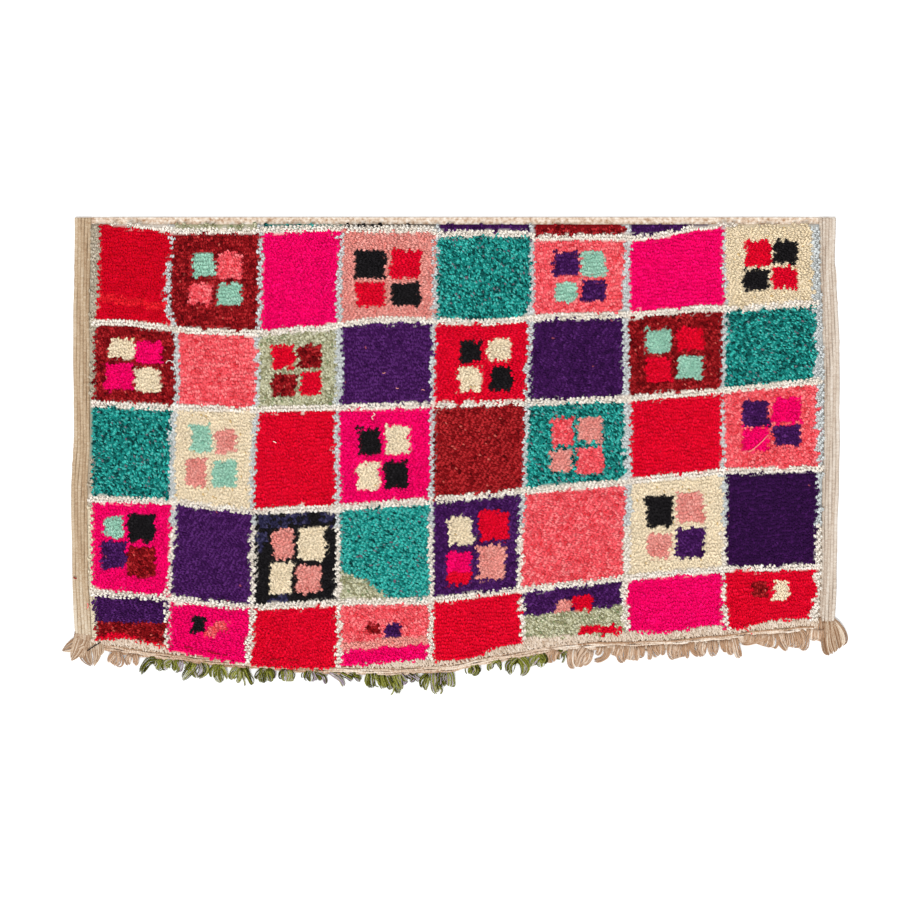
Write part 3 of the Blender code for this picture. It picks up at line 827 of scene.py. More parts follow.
def yarnEnds(x, y, flat, lift):
    # The seven points of each end: two at its root, three where it bends over and two at its tip. The root is
    # sunk in the bed, the bend stands ahead of it and above it, and the tip falls on from there.
    count = len(x)
    level = np.zeros((count, 1))
    flat = turned(flat, shuffle.normal(size=count) * pile["leanSpread"])
    ahead = np.concatenate([flat, level], axis=1)
    onward = np.concatenate([turned(flat, shuffle.normal(size=count) * pile["bendAside"]), level], axis=1)
    aside = np.column_stack([-flat[:, 1], flat[:, 0], np.zeros(count)])
    up = np.array([[0.0, 0.0, 1.0]])
    size = shuffle.normal(1, pile["sizeSpread"], count)[:, None] * mm
    full = pile["rimHeight"] + (1 - pile["rimHeight"]) * fullness(x, y)
    height = (shuffle.normal(1, pile["sizeSpread"], count) * full)[:, None]
    furrow = waves(x, y, pile["furrowWaves"]) * waves(x, y, pile["furrowFade"])
    drop = (partings(x, y) * pile["partingDrop"] + furrow - lift)[:, None] * mm
    root = np.column_stack([x, y, bedHeight(x, y) - pile["sink"] * mm])
    bend = root + ahead * pile["firstReach"] * size + up * (pile["firstRise"] * size * height - drop)
    tip = bend + onward * pile["tipReach"] * size + up * (pile["tipRise"] * size - drop)
    crestUp, crestAhead = pile["crest"]
    crest = up * crestUp + ahead * crestAhead
    wide = pile["halfWidth"] * size * shuffle.normal(1, pile["widthSpread"], count)[:, None]
    deep = pile["halfDepth"] * size
    rootEdge = [root + aside * wide * pile["rootShare"], root - aside * wide * pile["rootShare"]]
    bendRing = [bend + aside * wide, bend + crest * deep, bend - aside * wide]
    tipEdge = [tip + aside * wide * pile["tipShare"], tip - aside * wide * pile["tipShare"]]
    return np.stack([*rootEdge, *bendRing, *tipEdge], axis=1)


def makePile():
    # One piece for each colour of yarn. An end's tone is its knot's and its own, with painted shade that
    # darkens it in a parting.
    x, y, yarn, block, flat, lift, ownTone = splitKnots(placeKnots())
    dye = np.zeros(blockRows * blockColumns)
    for row, column, shift in chart["dyeShift"]:
        dye[row * blockColumns + column] = shift
    points = yarnEnds(x, y, flat, lift)
    dip = partings(x, y)
    print("yarn ends:", len(x))
    depth, across, lengthwise, quads, threes = (np.array(values) for values in endPoints.values())
    each = len(depth)  # points of an end
    darker, deeper = pile["partingShade"]
    top, topMixed = pile["topTone"]
    made = []
    for number, (name, facts) in enumerate(yarns.items()):
        mine = np.flatnonzero(yarn == number)
        count = len(mine)
        if not count:
            continue
        mixed = facts.get("heather", 0)
        shared = pile["knotTone"] * (1 - mixed) ** 2 * ownTone[mine]
        own = shared + (pile["endTone"] + mixed) * shuffle.normal(size=count)
        shift = dye[block[mine]] * (grounds[block[mine]] == number)
        # Painted shade: ends in a parting are coloured darker
        tone = np.clip(0.5 + own * facts["spread"] - darker * dip[mine] + shift, 0, top - topMixed * mixed)
        tone[shuffle.uniform(size=count) < facts.get("share", 0)] = fleckTone
        first = np.arange(count)[:, None, None] * each
        faces = [(quads[None] + first).reshape(-1, 4), (threes[None] + first).reshape(-1, 3)]
        strands = np.repeat(np.arange(count), each) * strandApart
        values = {
            "tone": np.repeat(tone, each),
            # Painted shade: ends in a parting read as deeper in the pile, so darker
            "depth": np.tile(depth, count) - np.repeat(dip[mine], each) * deeper,
            "strand": np.column_stack([np.tile(across, count), np.tile(lengthwise, count), strands]),
        }
        piece = "pile" + name[0].upper() + name[1:]
        ends = makeMesh(piece, points[mine].reshape(-1, 3), faces, values, flatMap=True)
        ends.data.materials.append(pileWool(name, facts))
        made.append(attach(ends, "root"))
    return made


# The cloth under the pile, with its selvedges and hem

def makeCloth():
    # Profile across the rug of ribs, flat weave and ribs, carried from the near edge to the far one
    ribs = 2 * cloth["cords"] + 1
    out = np.linspace(0, cloth["selvedgeWidth"], ribs)
    wave = np.arange(ribs) % 2
    rib = cloth["ribValley"] + (cloth["ribCrest"] - cloth["ribValley"]) * wave
    middle = np.linspace(0, 1, cloth["middleColumns"] + 2)[1:-1]
    rows = int((cloth["farEdge"] - cloth["nearMost"]) / cloth["rowSpacing"])
    hemShare = 1 - cloth["hemWidth"] / cloth["length"]
    hemRows = np.linspace(hemShare, 1, cloth["hemSteps"] + 1)[1:]
    v = np.concatenate([np.linspace(0, hemShare, rows), hemRows])[:, None]
    y = (cloth["nearMean"] + v * cloth["length"]) * mm
    spare = 4  # random rows before the first and after the last, for the mean over three
    wander = np.convolve(shuffle.normal(size=len(v) + 2 * spare), np.ones(3) / 2, "same")[spare:-spare, None]
    left = sideX(y, 0) + wander * cloth["sideWander"] * mm
    right = sideX(y, 1) + wander[::-1] * cloth["sideWander"] * mm
    inner = cloth["selvedgeWidth"] * mm
    across = (left + inner) + middle[None, :] * (right - left - 2 * inner)
    x = np.concatenate([left + out * mm, across, right - out[::-1] * mm], axis=1)
    z = np.concatenate([rib, np.full(len(middle), cloth["weaveHeight"]), rib[::-1]]) * mm
    near = nearEdge(x)
    y = near + v * (cloth["farEdge"] * mm - near)
    hem = np.clip((v - hemShare) / (1 - hemShare), 0, 1)
    ridge = cloth["hemRidge"] * mm * np.abs(np.sin(np.pi * cloth["hemRidges"] * hem)) * (hem > 0)
    z = z[None, :] + ridge - cloth["endDrop"] * mm * ((v == 0) | (v == 1))
    rows, columns = x.shape
    points, faces, _ = closeBelow(np.column_stack([x.ravel(), y.ravel(), z.ravel()]), rows, columns, 0)
    ground = makeMesh("rugCloth", points, faces, flatMap=True)
    ground.data.materials.append(weaveWool())
    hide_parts("rug")
    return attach(ground, "root")


# Twisted yarn: how many streaks run round a strand, how long they are in millimetres, and its random tones

spunLook = {
    "streaks": 4,
    "streakLength": 5,
    "tone": 0.5,
    "toneSpread": 0.24,
    "topTone": 0.93,
}


def pathFrame(paths):
    # Along each path, the unit directions ahead, to the side and upwards, and the length of each step
    ahead = np.gradient(paths, axis=1)
    step = np.linalg.norm(ahead, axis=2)
    ahead = ahead / step[..., None]
    aside = np.cross(ahead, [0.0, 0.0, 1.0])
    aside /= np.linalg.norm(aside, axis=2)[..., None]
    return ahead, aside, np.cross(aside, ahead), step


def tubes(part):
    # Rings along many paths at once, round or flattened, quads from ring to ring, and a cap on both ends
    paths, radius, sides = part["paths"], part["radius"], part["sides"]
    _, aside, up, step = pathFrame(paths)
    angle = np.linspace(0, 2 * np.pi, sides, endpoint=False)
    ring = np.cos(angle)[:, None] * aside[:, :, None]
    ring = ring + part.get("flat", 1) * np.sin(angle)[:, None] * up[:, :, None]
    points = paths[:, :, None] + radius[..., None, None] * ring
    count, steps = paths.shape[:2]
    first = np.arange(steps - 1)[:, None] * sides + np.arange(sides)[None, :]
    after = np.arange(steps - 1)[:, None] * sides + (np.arange(sides)[None, :] + 1) % sides
    quads = np.stack([first, first + sides, after + sides, after], axis=2).reshape(-1, 4)
    shift = np.arange(count)[:, None, None] * steps * sides
    caps = np.stack([np.arange(sides), (steps - 1) * sides + np.arange(sides)[::-1]])
    faces = [(quads[None] + shift).reshape(-1, 4), (caps[None] + shift).reshape(-1, sides)]
    around = np.abs(np.sin(angle / 2)) * part.get("streaks", spunLook["streaks"])
    length = np.cumsum(step, axis=1)[:, :, None] / mm / spunLook["streakLength"]
    number = np.arange(count)[:, None, None] * strandApart
    strand = np.stack(np.broadcast_arrays(around[None, None, :], length, number), axis=3)
    if "tone" in part:
        tone = part["tone"]
    else:
        tone = shuffle.normal(spunLook["tone"], spunLook["toneSpread"], count)[:, None]
    # Painted shade: the sides of each ring are coloured darker where tubes meet
    tone = tone[..., None] - part.get("flankShade", 0) * np.cos(angle) ** 4  # darker where tubes meet
    tone = np.where(tone > 1, tone, np.clip(tone, 0, spunLook["topTone"]))
    tone = np.broadcast_to(tone, (count, steps, sides))
    return points.reshape(-1, 3), faces, strand.reshape(-1, 3), tone.ravel()


def yarnPiece(name, parts, material):
    # Several sets of tubes in one mesh
    points, faces, strands, tones = [], [], [], []
    total = 0
    for part in parts:
        rings, sets, strand, tone = tubes(part)
        points.append(rings)
        faces += [rows + total for rows in sets]
        strands.append(strand)
        tones.append(tone)
        total += len(rings)
    values = {"tone": np.concatenate(tones), "strand": np.concatenate(strands)}
    made = makeMesh(name, np.concatenate(points), faces, values)
    made.data.materials.append(material)
    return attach(made, "root")


# The cord along the near end, in millimetres. Its waves run along x and shift from row to row.

endCord = {
    "right": 706,
    # Each row: how far outside the cloth's edge it runs, its height, its radius, its tone and where it starts
    "rows": [
        (1.0, 6.6, 1.9, 0.39, -694), (4.6, 6.6, 2.4, 0.59, -694), (8.6, 5.6, 2.4, 0.61, -694),
        (12.4, 3.8, 2.3, 0.44, -694), (15.8, 2.8, 2.3, 0.49, 180), (19.0, 2.2, 2.0, 0.44, 300),
        # The last row, of tone near 0, is a dark brown line that paints the shadow between the undyed knots
        # and the cord
        (3.0, 8.0, 2.2, -0.01, 240),
    ],
    "step": 1.7,
    "sides": 6,
    "swayWaves": [(0.7, 61, 1, 0), (0.5, 143, 2, 0)],
    "swaySpread": 0.2,
    "riseWaves": [(0.4, 83, 1, 0)],
    "riseSpread": 0.15,
    "swellWaves": [(0.1, 37, 1, 0)],
    "swellSpread": 0.12,
    "toneWaves": [(0.14, 29, 3, 0)],
    "toneSpread": 0.13,
    "darker": [(0.14, 260), (0.2, -200)],  # how much darker it turns to the left of each of these places
    "darkerOver": 100,
}


def endCordParts():
    # Fine rows that follow the cloth's near edge, each with small random changes of place and thickness
    out, height, radius, tone, start = np.array(endCord["rows"]).T[:, :, None]
    steps = int((endCord["right"] - start.min()) / endCord["step"])
    x = (start + (endCord["right"] - start) * np.linspace(0, 1, steps)[None, :]) * mm
    sway = waves(x, out, endCord["swayWaves"]) + shuffle.normal(0, endCord["swaySpread"], x.shape)
    level = height + waves(x, out, endCord["riseWaves"]) + shuffle.normal(0, endCord["riseSpread"], x.shape)
    paths = np.stack([x, nearEdge(x) + (sway - out) * mm, level * mm], axis=2)
    swell = 1 + waves(x, out, endCord["swellWaves"]) + shuffle.normal(0, endCord["swellSpread"], x.shape)
    for amount, place in endCord["darker"]:
        tone = tone - amount * np.clip((place * mm - x) / (endCord["darkerOver"] * mm), 0, 1)
    tone = tone + waves(x, out, endCord["toneWaves"]) + shuffle.normal(0, endCord["toneSpread"], x.shape)
    return {"paths": paths, "radius": radius * mm * swell, "sides": endCord["sides"], "tone": tone}


# The undyed knots between the dyed pile and the cord, in millimetres and degrees

bandLumps = {
    "side": 716,  # they run from this far left to this far right
    "spacing": 4.0,
    "rowSpacing": 3.5,
    "rows": 9,
    "first": 3.0,  # from the cloth's edge to the first row
    "scatter": (2, 1.2),  # sideways and lengthwise
    "length": 8.6,
    "lengths": (0.75, 1.2),  # as shares of that length
    "radius": 2.2,
    "radii": (0.8, 1.2),
    "flat": 0.5,
    "lean": -78,
    "spread": 26,
    "bendSpread": 18,
    "steps": 5,
    "sides": 5,
    "arch": 0.5,
    "raised": 0.7,
    "narrowing": 0.93,  # 1 would bring the ends to a point
    "streaks": 9,
    "tone": 0.54,
    "toneSpread": 0.16,
}


def bandLumpParts():
    # Short round lumps in staggered rows: a flattened ellipse in outline, along its own heading
    spacing, rowSpacing = bandLumps["spacing"] * mm, bandLumps["rowSpacing"] * mm
    scatterX, scatterY = bandLumps["scatter"]
    x = np.arange(-bandLumps["side"], bandLumps["side"], bandLumps["spacing"]) * mm
    rows = np.arange(bandLumps["rows"])
    x = np.repeat(x[None], len(rows), axis=0) + (rows % 2)[:, None] * spacing / 2
    x = (x + shuffle.uniform(-scatterX, scatterX, x.shape) * mm).ravel()
    y = nearEdge(x) + bandLumps["first"] * mm + np.repeat(rows, len(x) // len(rows)) * rowSpacing
    y = y + shuffle.uniform(-scatterY, scatterY, len(x)) * mm
    keep = y < undyedFrom(x)
    x, y = x[keep], y[keep]
    t = np.linspace(-1, 1, bandLumps["steps"])[None, :]
    angle = np.radians(bandLumps["lean"] + shuffle.normal(0, bandLumps["spread"], len(x)))[:, None]
    angle = angle + np.radians(shuffle.normal(0, bandLumps["bendSpread"], len(x)))[:, None] * t
    reach = bandLumps["length"] * mm * shuffle.uniform(*bandLumps["lengths"], len(x))[:, None] / 2
    pathX = x[:, None] + np.cos(angle) * reach * t
    pathY = y[:, None] + np.sin(angle) * reach * t
    top = bedHeight(x, y) + shuffle.uniform(0, bandLumps["raised"], len(x)) * mm
    pathZ = top[:, None] + bandLumps["arch"] * mm * (1 - t**2)
    radius = bandLumps["radius"] * mm * shuffle.uniform(*bandLumps["radii"], len(x))[:, None]
    radius = radius * np.sqrt(1 - bandLumps["narrowing"] * t**2)
    return {
        "paths": np.stack([pathX, pathY, pathZ], axis=2),
        "radius": radius,
        "sides": bandLumps["sides"],
        "flat": bandLumps["flat"],
        "streaks": bandLumps["streaks"],
        "tone": shuffle.normal(bandLumps["tone"], bandLumps["toneSpread"], len(x))[:, None],
    }


# Tufts and tassels: each lobe as (x, y) at its root, its middle and its tip, and its widths there
lobes = {
    "green": [
        [
            (-589, -416, -609, -420, -621, -443, 10, 14, 11),
            (-589, -414, -587, -424, -593, -431, 12, 15, 10),
        ],
        [
            (-558, -416, -573, -420, -567, -433, 10, 16, 14),
            (-556, -416, -552, -427, -556, -437, 12, 14, 10),
        ],
        [
            (-548, -418, -546, -427, -550, -435, 12, 14, 10),
            (-536, -418, -528, -424, -536, -431, 8, 10, 6), (-514, -422, -526, -437, -540, -453, 16, 14, 6),
            (-504, -418, -496, -435, -510, -449, 16, 18, 12), (-522, -429, -518, -439, -512, -449, 6, 8, 6),
        ],
        [
            (-467, -422, -479, -435, -481, -449, 12, 14, 10),
            (-467, -422, -467, -443, -463, -459, 14, 14, 6), (-463, -427, -453, -439, -449, -451, 5, 3, 2),
            (-463, -431, -455, -443, -453, -453, 4, 3, 2),
        ],
        [(-426, -431, -437, -441, -439, -453, 12, 14, 12), (-426, -435, -427, -449, -433, -459, 8, 8, 3)],
        [(-418, -431, -410, -447, -402, -463, 14, 10, 9), (-422, -437, -418, -453, -416, -467, 4, 3, 2)],
        [
            (-376, -431, -388, -443, -392, -453, 12, 13, 10),
            (-378, -433, -380, -447, -378, -459, 14, 16, 10),
            (-372, -431, -361, -439, -361, -451, 12, 12, 8),
            (-370, -435, -366, -447, -364, -457, 10, 12, 8),
        ],
        [
            (-333, -433, -343, -443, -343, -451, 10, 10, 8),
            (-335, -435, -333, -447, -333, -457, 16, 18, 12),
            (-331, -435, -325, -445, -325, -453, 10, 10, 6),
        ],
        [
            (-284, -433, -296, -441, -297, -451, 10, 12, 8),
            (-286, -433, -286, -445, -286, -457, 16, 18, 12),
            (-280, -433, -270, -445, -266, -455, 10, 10, 8),
        ],
        [(-280, -441, -262, -447, -258, -463, 6, 9, 8), (-272, -437, -260, -441, -252, -443, 6, 6, 4)],
        [(-252, -441, -232, -449, -221, -467, 6, 10, 10), (-248, -437, -238, -441, -229, -445, 6, 6, 4)],
        [
            (-229, -441, -215, -447, -205, -455, 6, 8, 6), (-213, -441, -197, -447, -189, -457, 6, 8, 4),
            (-205, -441, -197, -445, -185, -449, 6, 8, 6),
        ],
        [(-173, -441, -177, -455, -175, -467, 6, 6, 4), (-165, -437, -167, -455, -164, -469, 16, 16, 14)],
        [(-162, -443, -154, -455, -148, -467, 8, 8, 6), (-148, -445, -144, -459, -142, -471, 12, 13, 10)],
        [
            (-138, -445, -132, -461, -128, -473, 10, 10, 6),
            (-128, -445, -120, -463, -112, -481, 12, 12, 6),
            (-116, -443, -112, -459, -106, -473, 12, 12, 5), (-126, -461, -122, -473, -130, -483, 3, 2, 2),
        ],
        [
            (-112, -445, -104, -453, -95, -457, 10, 12, 8), (-95, -445, -85, -451, -91, -457, 10, 10, 8),
            (-83, -445, -77, -449, -71, -453, 10, 10, 8),
        ],
        [(-55, -445, -67, -455, -67, -469, 10, 10, 6), (-55, -449, -59, -461, -61, -475, 10, 10, 5)],
        [
            (-43, -443, -43, -463, -37, -481, 12, 12, 8), (-32, -443, -35, -459, -32, -473, 10, 12, 8),
            (-32, -467, -28, -475, -30, -483, 4, 3, 2),
        ],
        [(-24, -443, -26, -453, -20, -465, 12, 14, 10), (-14, -441, -10, -455, -12, -467, 12, 14, 12)],
        [
            (35, -424, 28, -431, 28, -443, 10, 12, 10), (35, -426, 39, -435, 32, -443, 14, 14, 10),
            (39, -427, 45, -433, 43, -439, 6, 6, 4),
        ],
        [(81, -414, 67, -422, 67, -435, 12, 12, 10), (79, -414, 87, -424, 89, -435, 10, 7, 6)],
        [
            (106, -418, 100, -427, 100, -437, 6, 6, 4), (122, -412, 108, -424, 110, -443, 14, 14, 8),
            (124, -412, 136, -427, 128, -445, 16, 18, 10), (128, -412, 138, -422, 140, -437, 8, 8, 4),
        ],
        [
            (164, -406, 152, -416, 150, -427, 16, 16, 12), (162, -404, 165, -416, 169, -429, 12, 10, 6),
            (167, -404, 175, -412, 171, -422, 12, 12, 10),
        ],
        [
            (211, -396, 203, -404, 205, -414, 10, 12, 8), (217, -396, 223, -404, 221, -414, 10, 10, 8),
            (209, -402, 213, -410, 209, -420, 4, 4, 2),
        ],
    ],
    "undyed": [
        (-669, -399, -670, -413, -675, -425, 9, 23, 16), (-674, -407, -682, -412, -688, -416, 8, 9, 4),
        (-634, -407, -631, -416, -635, -423, 7, 11, 9), (-640, -410, -647, -415, -643, -423, 7, 10, 9),
        (197, -398, 191, -408, 193, -418, 18, 20, 16), (232, -396, 229, -414, 236, -429, 16, 18, 14),
        (258, -396, 246, -410, 240, -429, 20, 20, 14), (264, -402, 260, -414, 250, -422, 12, 12, 8),
        (299, -392, 294, -408, 272, -416, 14, 10, 8), (284, -394, 282, -398, 276, -404, 12, 10, 6),
        (307, -390, 307, -396, 305, -402, 18, 18, 16), (321, -394, 317, -402, 315, -406, 12, 12, 10),
        (331, -390, 327, -406, 333, -418, 16, 16, 8), (345, -390, 343, -404, 341, -414, 16, 20, 14),
        (357, -394, 357, -406, 357, -416, 8, 8, 4), (366, -392, 366, -400, 370, -408, 12, 12, 10),
        (382, -392, 382, -404, 382, -414, 8, 7, 6), (390, -390, 394, -398, 400, -406, 12, 16, 12),
        (404, -388, 406, -396, 404, -404, 8, 10, 8), (429, -388, 427, -400, 433, -410, 14, 16, 12),
        (443, -388, 439, -402, 439, -410, 14, 18, 14), (453, -388, 455, -400, 457, -412, 10, 8, 4),
        (465, -382, 467, -396, 481, -406, 10, 8, 6), (489, -384, 485, -394, 491, -404, 14, 16, 12),
        (506, -382, 508, -394, 514, -404, 16, 18, 12), (526, -380, 530, -390, 534, -398, 12, 12, 8),
        (540, -380, 540, -392, 546, -404, 12, 12, 8), (548, -374, 554, -394, 561, -410, 12, 13, 12),
        (619, -372, 591, -376, 563, -382, 8, 12, 12), (607, -368, 605, -378, 603, -386, 24, 28, 22),
        (623, -368, 624, -380, 621, -388, 16, 20, 16), (581, -368, 577, -376, 575, -384, 16, 18, 14),
        (638, -366, 644, -380, 654, -396, 16, 14, 8), (658, -364, 664, -378, 664, -390, 18, 22, 18),
        (672, -361, 682, -376, 676, -392, 16, 22, 18), (701, -357, 701, -366, 699, -374, 18, 20, 18),
        (715, -359, 715, -368, 713, -376, 16, 18, 16),
        (684, -339, 690, -353, 695, -364, 24, 26, 24), (705, -335, 707, -355, 709, -368, 24, 24, 22),
    ],
    "left": [
        (-735, -378, -755, -386, -777, -396, 22, 20, 5), (-737, -372, -748, -396, -759, -415, 26, 20, 5),
        (-735, -362, -737, -388, -735, -409, 28, 30, 20), (-725, -362, -722, -392, -717, -426, 32, 38, 18),
        (-713, -372, -708, -388, -707, -408, 20, 24, 16),
    ],
    "right": [
        (731, -335, 730, -376, 737, -404, 18, 18, 16), (735, -335, 739, -374, 747, -400, 18, 18, 16),
        (739, -337, 749, -368, 755, -392, 16, 18, 15), (741, -339, 760, -360, 763, -385, 12, 16, 15),
    ],
}
# How loosely the strands lie, how far their roots go on inwards, how high their heads are, and their tone
lobeKinds = {
    "green": {"loose": 1, "tuck": 2.5, "head": 7, "tone": 0.5},
    "undyed": {"loose": 0.7, "tuck": 6, "head": 10, "tone": 0.14},
    "tassels": {"loose": 0.35, "tuck": 2.5, "head": 5, "tone": 0.42},
}
lobeLook = {
    "spacing": 1.5,  # from strand to strand
    "overlap": 0.66,  # a strand's radius as a share of its room
    "closer": 0.6,  # how much more they overlap where they don't lie loosely
    "radii": (0.45, 2),  # the thinnest strand and the thickest
    "lengths": (0.9, 1.02),  # as shares of the lobe's length
    "fuller": 1.16,
    "dome": 2.2,
    "domeWidth": 12,  # a lobe narrower than this is less domed
    "edgeShade": 0.4,  # how much darker a lobe's outer strands are
    "toneSpread": (0.16, 0.24),  # from lobe to lobe, and from strand to strand
    "layer": 0.8,  # how far each of three lobes in turn lies above the one before it
    "sway": 0.8,
    "swayTurns": 8,
    "fray": 0.16,  # how far a strand drifts sideways, as a share of the lobe's width
    "closing": 0.75,  # where the strands begin to draw together
    "narrowing": 0.85,  # 1 would bring them to a point
    "fall": 1.3,  # how much sooner than its tip a strand lies down
    "rise": 0.14,  # the share of its length in which a strand comes up out of the cords
    "riseFrom": 3.4,
    "steps": 10,
    "sides": 5,
    "lilacShare": 0.03,
    "lilacTufts": {3: 0.15, 9: 0.2, 10: 0.25, 11: 0.3, 12: 0.2, 16: 0.35, 18: 0.3, 19: 0.2},
}


def lobeParts(rows, kind, fleckShare=0):
    # Strands side by side along a parabola through the lobe's three points. Each keeps its share of the
    # width, a parabola too, which closes round the tip. They fall from the head as a cosine, and the lobe's
    # middle is domed.
    loose = lobeKinds[kind]["loose"]
    rows = np.array(rows, dtype=float)
    rows[:, 1] += lobeKinds[kind]["tuck"]
    rows[:, 6:] *= lobeLook["fuller"]
    counts = np.maximum(2, np.round(rows[:, 7] / lobeLook["spacing"])).astype(int)
    lobe = np.repeat(np.arange(len(rows)), counts)
    order = np.arange(len(lobe)) - np.repeat(np.cumsum(counts) - counts, counts)
    room = counts[lobe][:, None]
    place = (order[:, None] + 0.5) / room - 0.5
    reach = shuffle.uniform(*lobeLook["lengths"], len(lobe))[:, None]
    t = np.linspace(0, 1, lobeLook["steps"])[None, :] * reach
    weights = np.stack([(1 - t) * (1 - 2 * t), 4 * t * (1 - t), t * (2 * t - 1)], axis=1)
    row = rows[lobe] * mm
    columns = [[0, 2, 4], [1, 3, 5], [6, 7, 8]]
    x, y, width = ((row[:, three, None] * weights).sum(axis=1) for three in columns)
    closed = np.clip((t - lobeLook["closing"]) / (1 - lobeLook["closing"]), 0, 1)
    width = width * np.sqrt(1 - lobeLook["narrowing"] * closed**2)
    stepX, stepY = np.gradient(x, axis=1), np.gradient(y, axis=1)
    length = np.hypot(stepX, stepY)
    phase = shuffle.uniform(0, 2 * np.pi, len(lobe))[:, None]
    drift = lobeLook["fray"] * loose * shuffle.normal(size=len(lobe))[:, None]
    sway = lobeLook["sway"] * loose * mm * np.sin(lobeLook["swayTurns"] * t + phase)
    offset = (place + drift * t) * width + sway
    x = x - stepY / length * offset
    y = y + stepX / length * offset
    overlap = lobeLook["overlap"] * (1 + lobeLook["closer"] * (1 - loose))
    thinnest, thickest = lobeLook["radii"]
    radius = np.clip(width / room * overlap, thinnest * mm, thickest * mm)
    domed = np.clip(width / (lobeLook["domeWidth"] * mm), 0, 1)
    dome = lobeLook["dome"] * loose * mm * (1 - 4 * place**2) * domed
    low = radius + dome + (lobe % 3)[:, None] * lobeLook["layer"] * loose * mm
    fall = 0.5 + 0.5 * np.cos(np.pi * np.clip(lobeLook["fall"] * t, 0, 1))
    z = low + np.maximum(lobeKinds[kind]["head"] * mm - low, 0) * fall
    risen = np.sin(np.pi / 2 * np.clip(t / lobeLook["rise"], 0, 1))
    z = z * risen + lobeLook["riseFrom"] * mm * (1 - risen)
    byLobe, byStrand = lobeLook["toneSpread"]
    own = shuffle.normal(lobeKinds[kind]["tone"], byLobe * loose, len(rows))[lobe]
    own = own + shuffle.normal(0, byStrand, len(lobe))
    tone = own[:, None] - lobeLook["edgeShade"] * loose * np.abs(2 * place) ** 3
    tone = np.where((shuffle.uniform(size=len(lobe)) < fleckShare)[:, None], fleckTone, tone)
    return {"paths": np.stack([x, y, z], axis=2), "radius": radius, "sides": lobeLook["sides"], "tone": tone}


def makeNearEnd():
    # The cord with the undyed tufts that are one with it, the undyed knots, each green tuft, and the tassels
    cord = spunWool("cord", spun["cord"])
    green = spunWool("green", spun["green"])
    tassels = spunWool("tassels", spun["tassels"])
    cordPiece = yarnPiece("endCord", [endCordParts(), lobeParts(lobes["undyed"], "undyed")], cord)
    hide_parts("end_cord")
    lumps = yarnPiece("undyedKnots", [bandLumpParts()], spunWool("knots", spun["knots"]))
    made = [cordPiece, lumps]
    for number, rows in enumerate(lobes["green"], start=1):
        share = lobeLook["lilacTufts"].get(number, lobeLook["lilacShare"])
        piece = yarnPiece(f"greenTuft{number:02d}", [lobeParts(rows, "green", share)], green)
        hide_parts(f"green_tuft_{number:02d}")
        made.append(piece)
    for side in ("left", "right"):
        piece = yarnPiece("cornerTassel" + side.capitalize(), [lobeParts(lobes[side], "tassels")], tassels)
        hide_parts("corner_tassel_" + side)
        made.append(piece)
    return made


# The selvedges' cords, in millimetres. Their waves run along y and shift from cord to cord.

selvedgeCords = {
    "radius": 3.7,
    "flat": 0.34,
    # Painted shade on each cord's sides, where it meets the next one
    "flankShade": 0.24,
    "height": 4.3,
    "length": 839,  # about
    "step": 1.9,
    "inset": 1,  # from the cloth's far and near edges
    "sink": 1.5,  # how much lower they start, over the first millimetres
    "sinkOver": 12,
    "ripple": 0.07,
    "sides": 6,
    "streaks": 5,
    "swayWaves": {"left": [(0.5, 23, 1, 0), (0.3, 61, 2, 0)], "right": [(0.5, 23, 1, 9), (0.3, 61, 2, 0)]},
    "riseWaves": [(0.2, 39, 1, 0)],
    "swellWaves": {"left": [(0.05, 57, 3, 0)], "right": [(0.05, 57, 3, 1)]},
    "tones": [0.52, 0.40, 0.46, 0.36, 0.38],  # from the outermost cord to the innermost
    "toneWaves": [(0.1, 31, 2, 0)],
    "toneSpread": 0.08,
    "paler": {"left": 0.35, "right": 0},  # how much paler they turn nearer than palerFrom
    "palerFrom": -200,
    "palerOver": 150,
}
selvedgeWool = {side: spunWool(side, spun[side]) for side in ("left", "right")}


def makeSelvedgeCords(side, name):
    # Flattened cords side by side; every other ring is thicker, out of step from cord to cord, where the weft
    # passes over
    way = 1 - 2 * side
    rows = int(selvedgeCords["length"] / selvedgeCords["step"])
    t = np.linspace(0, 1, rows)[None, :]
    k = np.arange(cloth["cords"])[:, None]
    out = (k + 0.5) * cloth["selvedgeWidth"] / cloth["cords"] * mm
    inset = selvedgeCords["inset"] * mm
    near = nearEdge(sideX(np.zeros(1), side) + way * out) + inset
    y = near + t * (cloth["farEdge"] * mm - inset - near)
    x = sideX(y, side) + way * out + waves(y, k, selvedgeCords["swayWaves"][name]) * mm
    sunk = selvedgeCords["sink"] * np.clip(1 - (y - near) / (selvedgeCords["sinkOver"] * mm), 0, 1)
    level = (selvedgeCords["height"] + waves(y, k, selvedgeCords["riseWaves"]) - sunk) * mm
    turn = np.where((np.arange(rows) + k) % 2 == 1, 1.0, -1.0)
    swell = 1 + selvedgeCords["ripple"] * turn + waves(y, k, selvedgeCords["swellWaves"][name])
    tone = np.array(selvedgeCords["tones"])[:, None] + waves(y, k, selvedgeCords["toneWaves"])
    tone = tone + shuffle.normal(0, selvedgeCords["toneSpread"], y.shape)
    paler = np.clip((selvedgeCords["palerFrom"] * mm - y) / (selvedgeCords["palerOver"] * mm), 0, 1)
    part = {
        "paths": np.stack([x, y, level], axis=2),
        "radius": selvedgeCords["radius"] * mm * swell,
        "sides": selvedgeCords["sides"],
        "flat": selvedgeCords["flat"],
        "flankShade": selvedgeCords["flankShade"],
        "tone": tone + selvedgeCords["paler"][name] * paler,
        "streaks": selvedgeCords["streaks"],
    }
    return yarnPiece("selvedge" + name.capitalize(), [part], selvedgeWool[name])


# Loose ends on the rug and between its knots: the yarn, its radius, its rise over the pile's bed, and its
# points, in millimetres

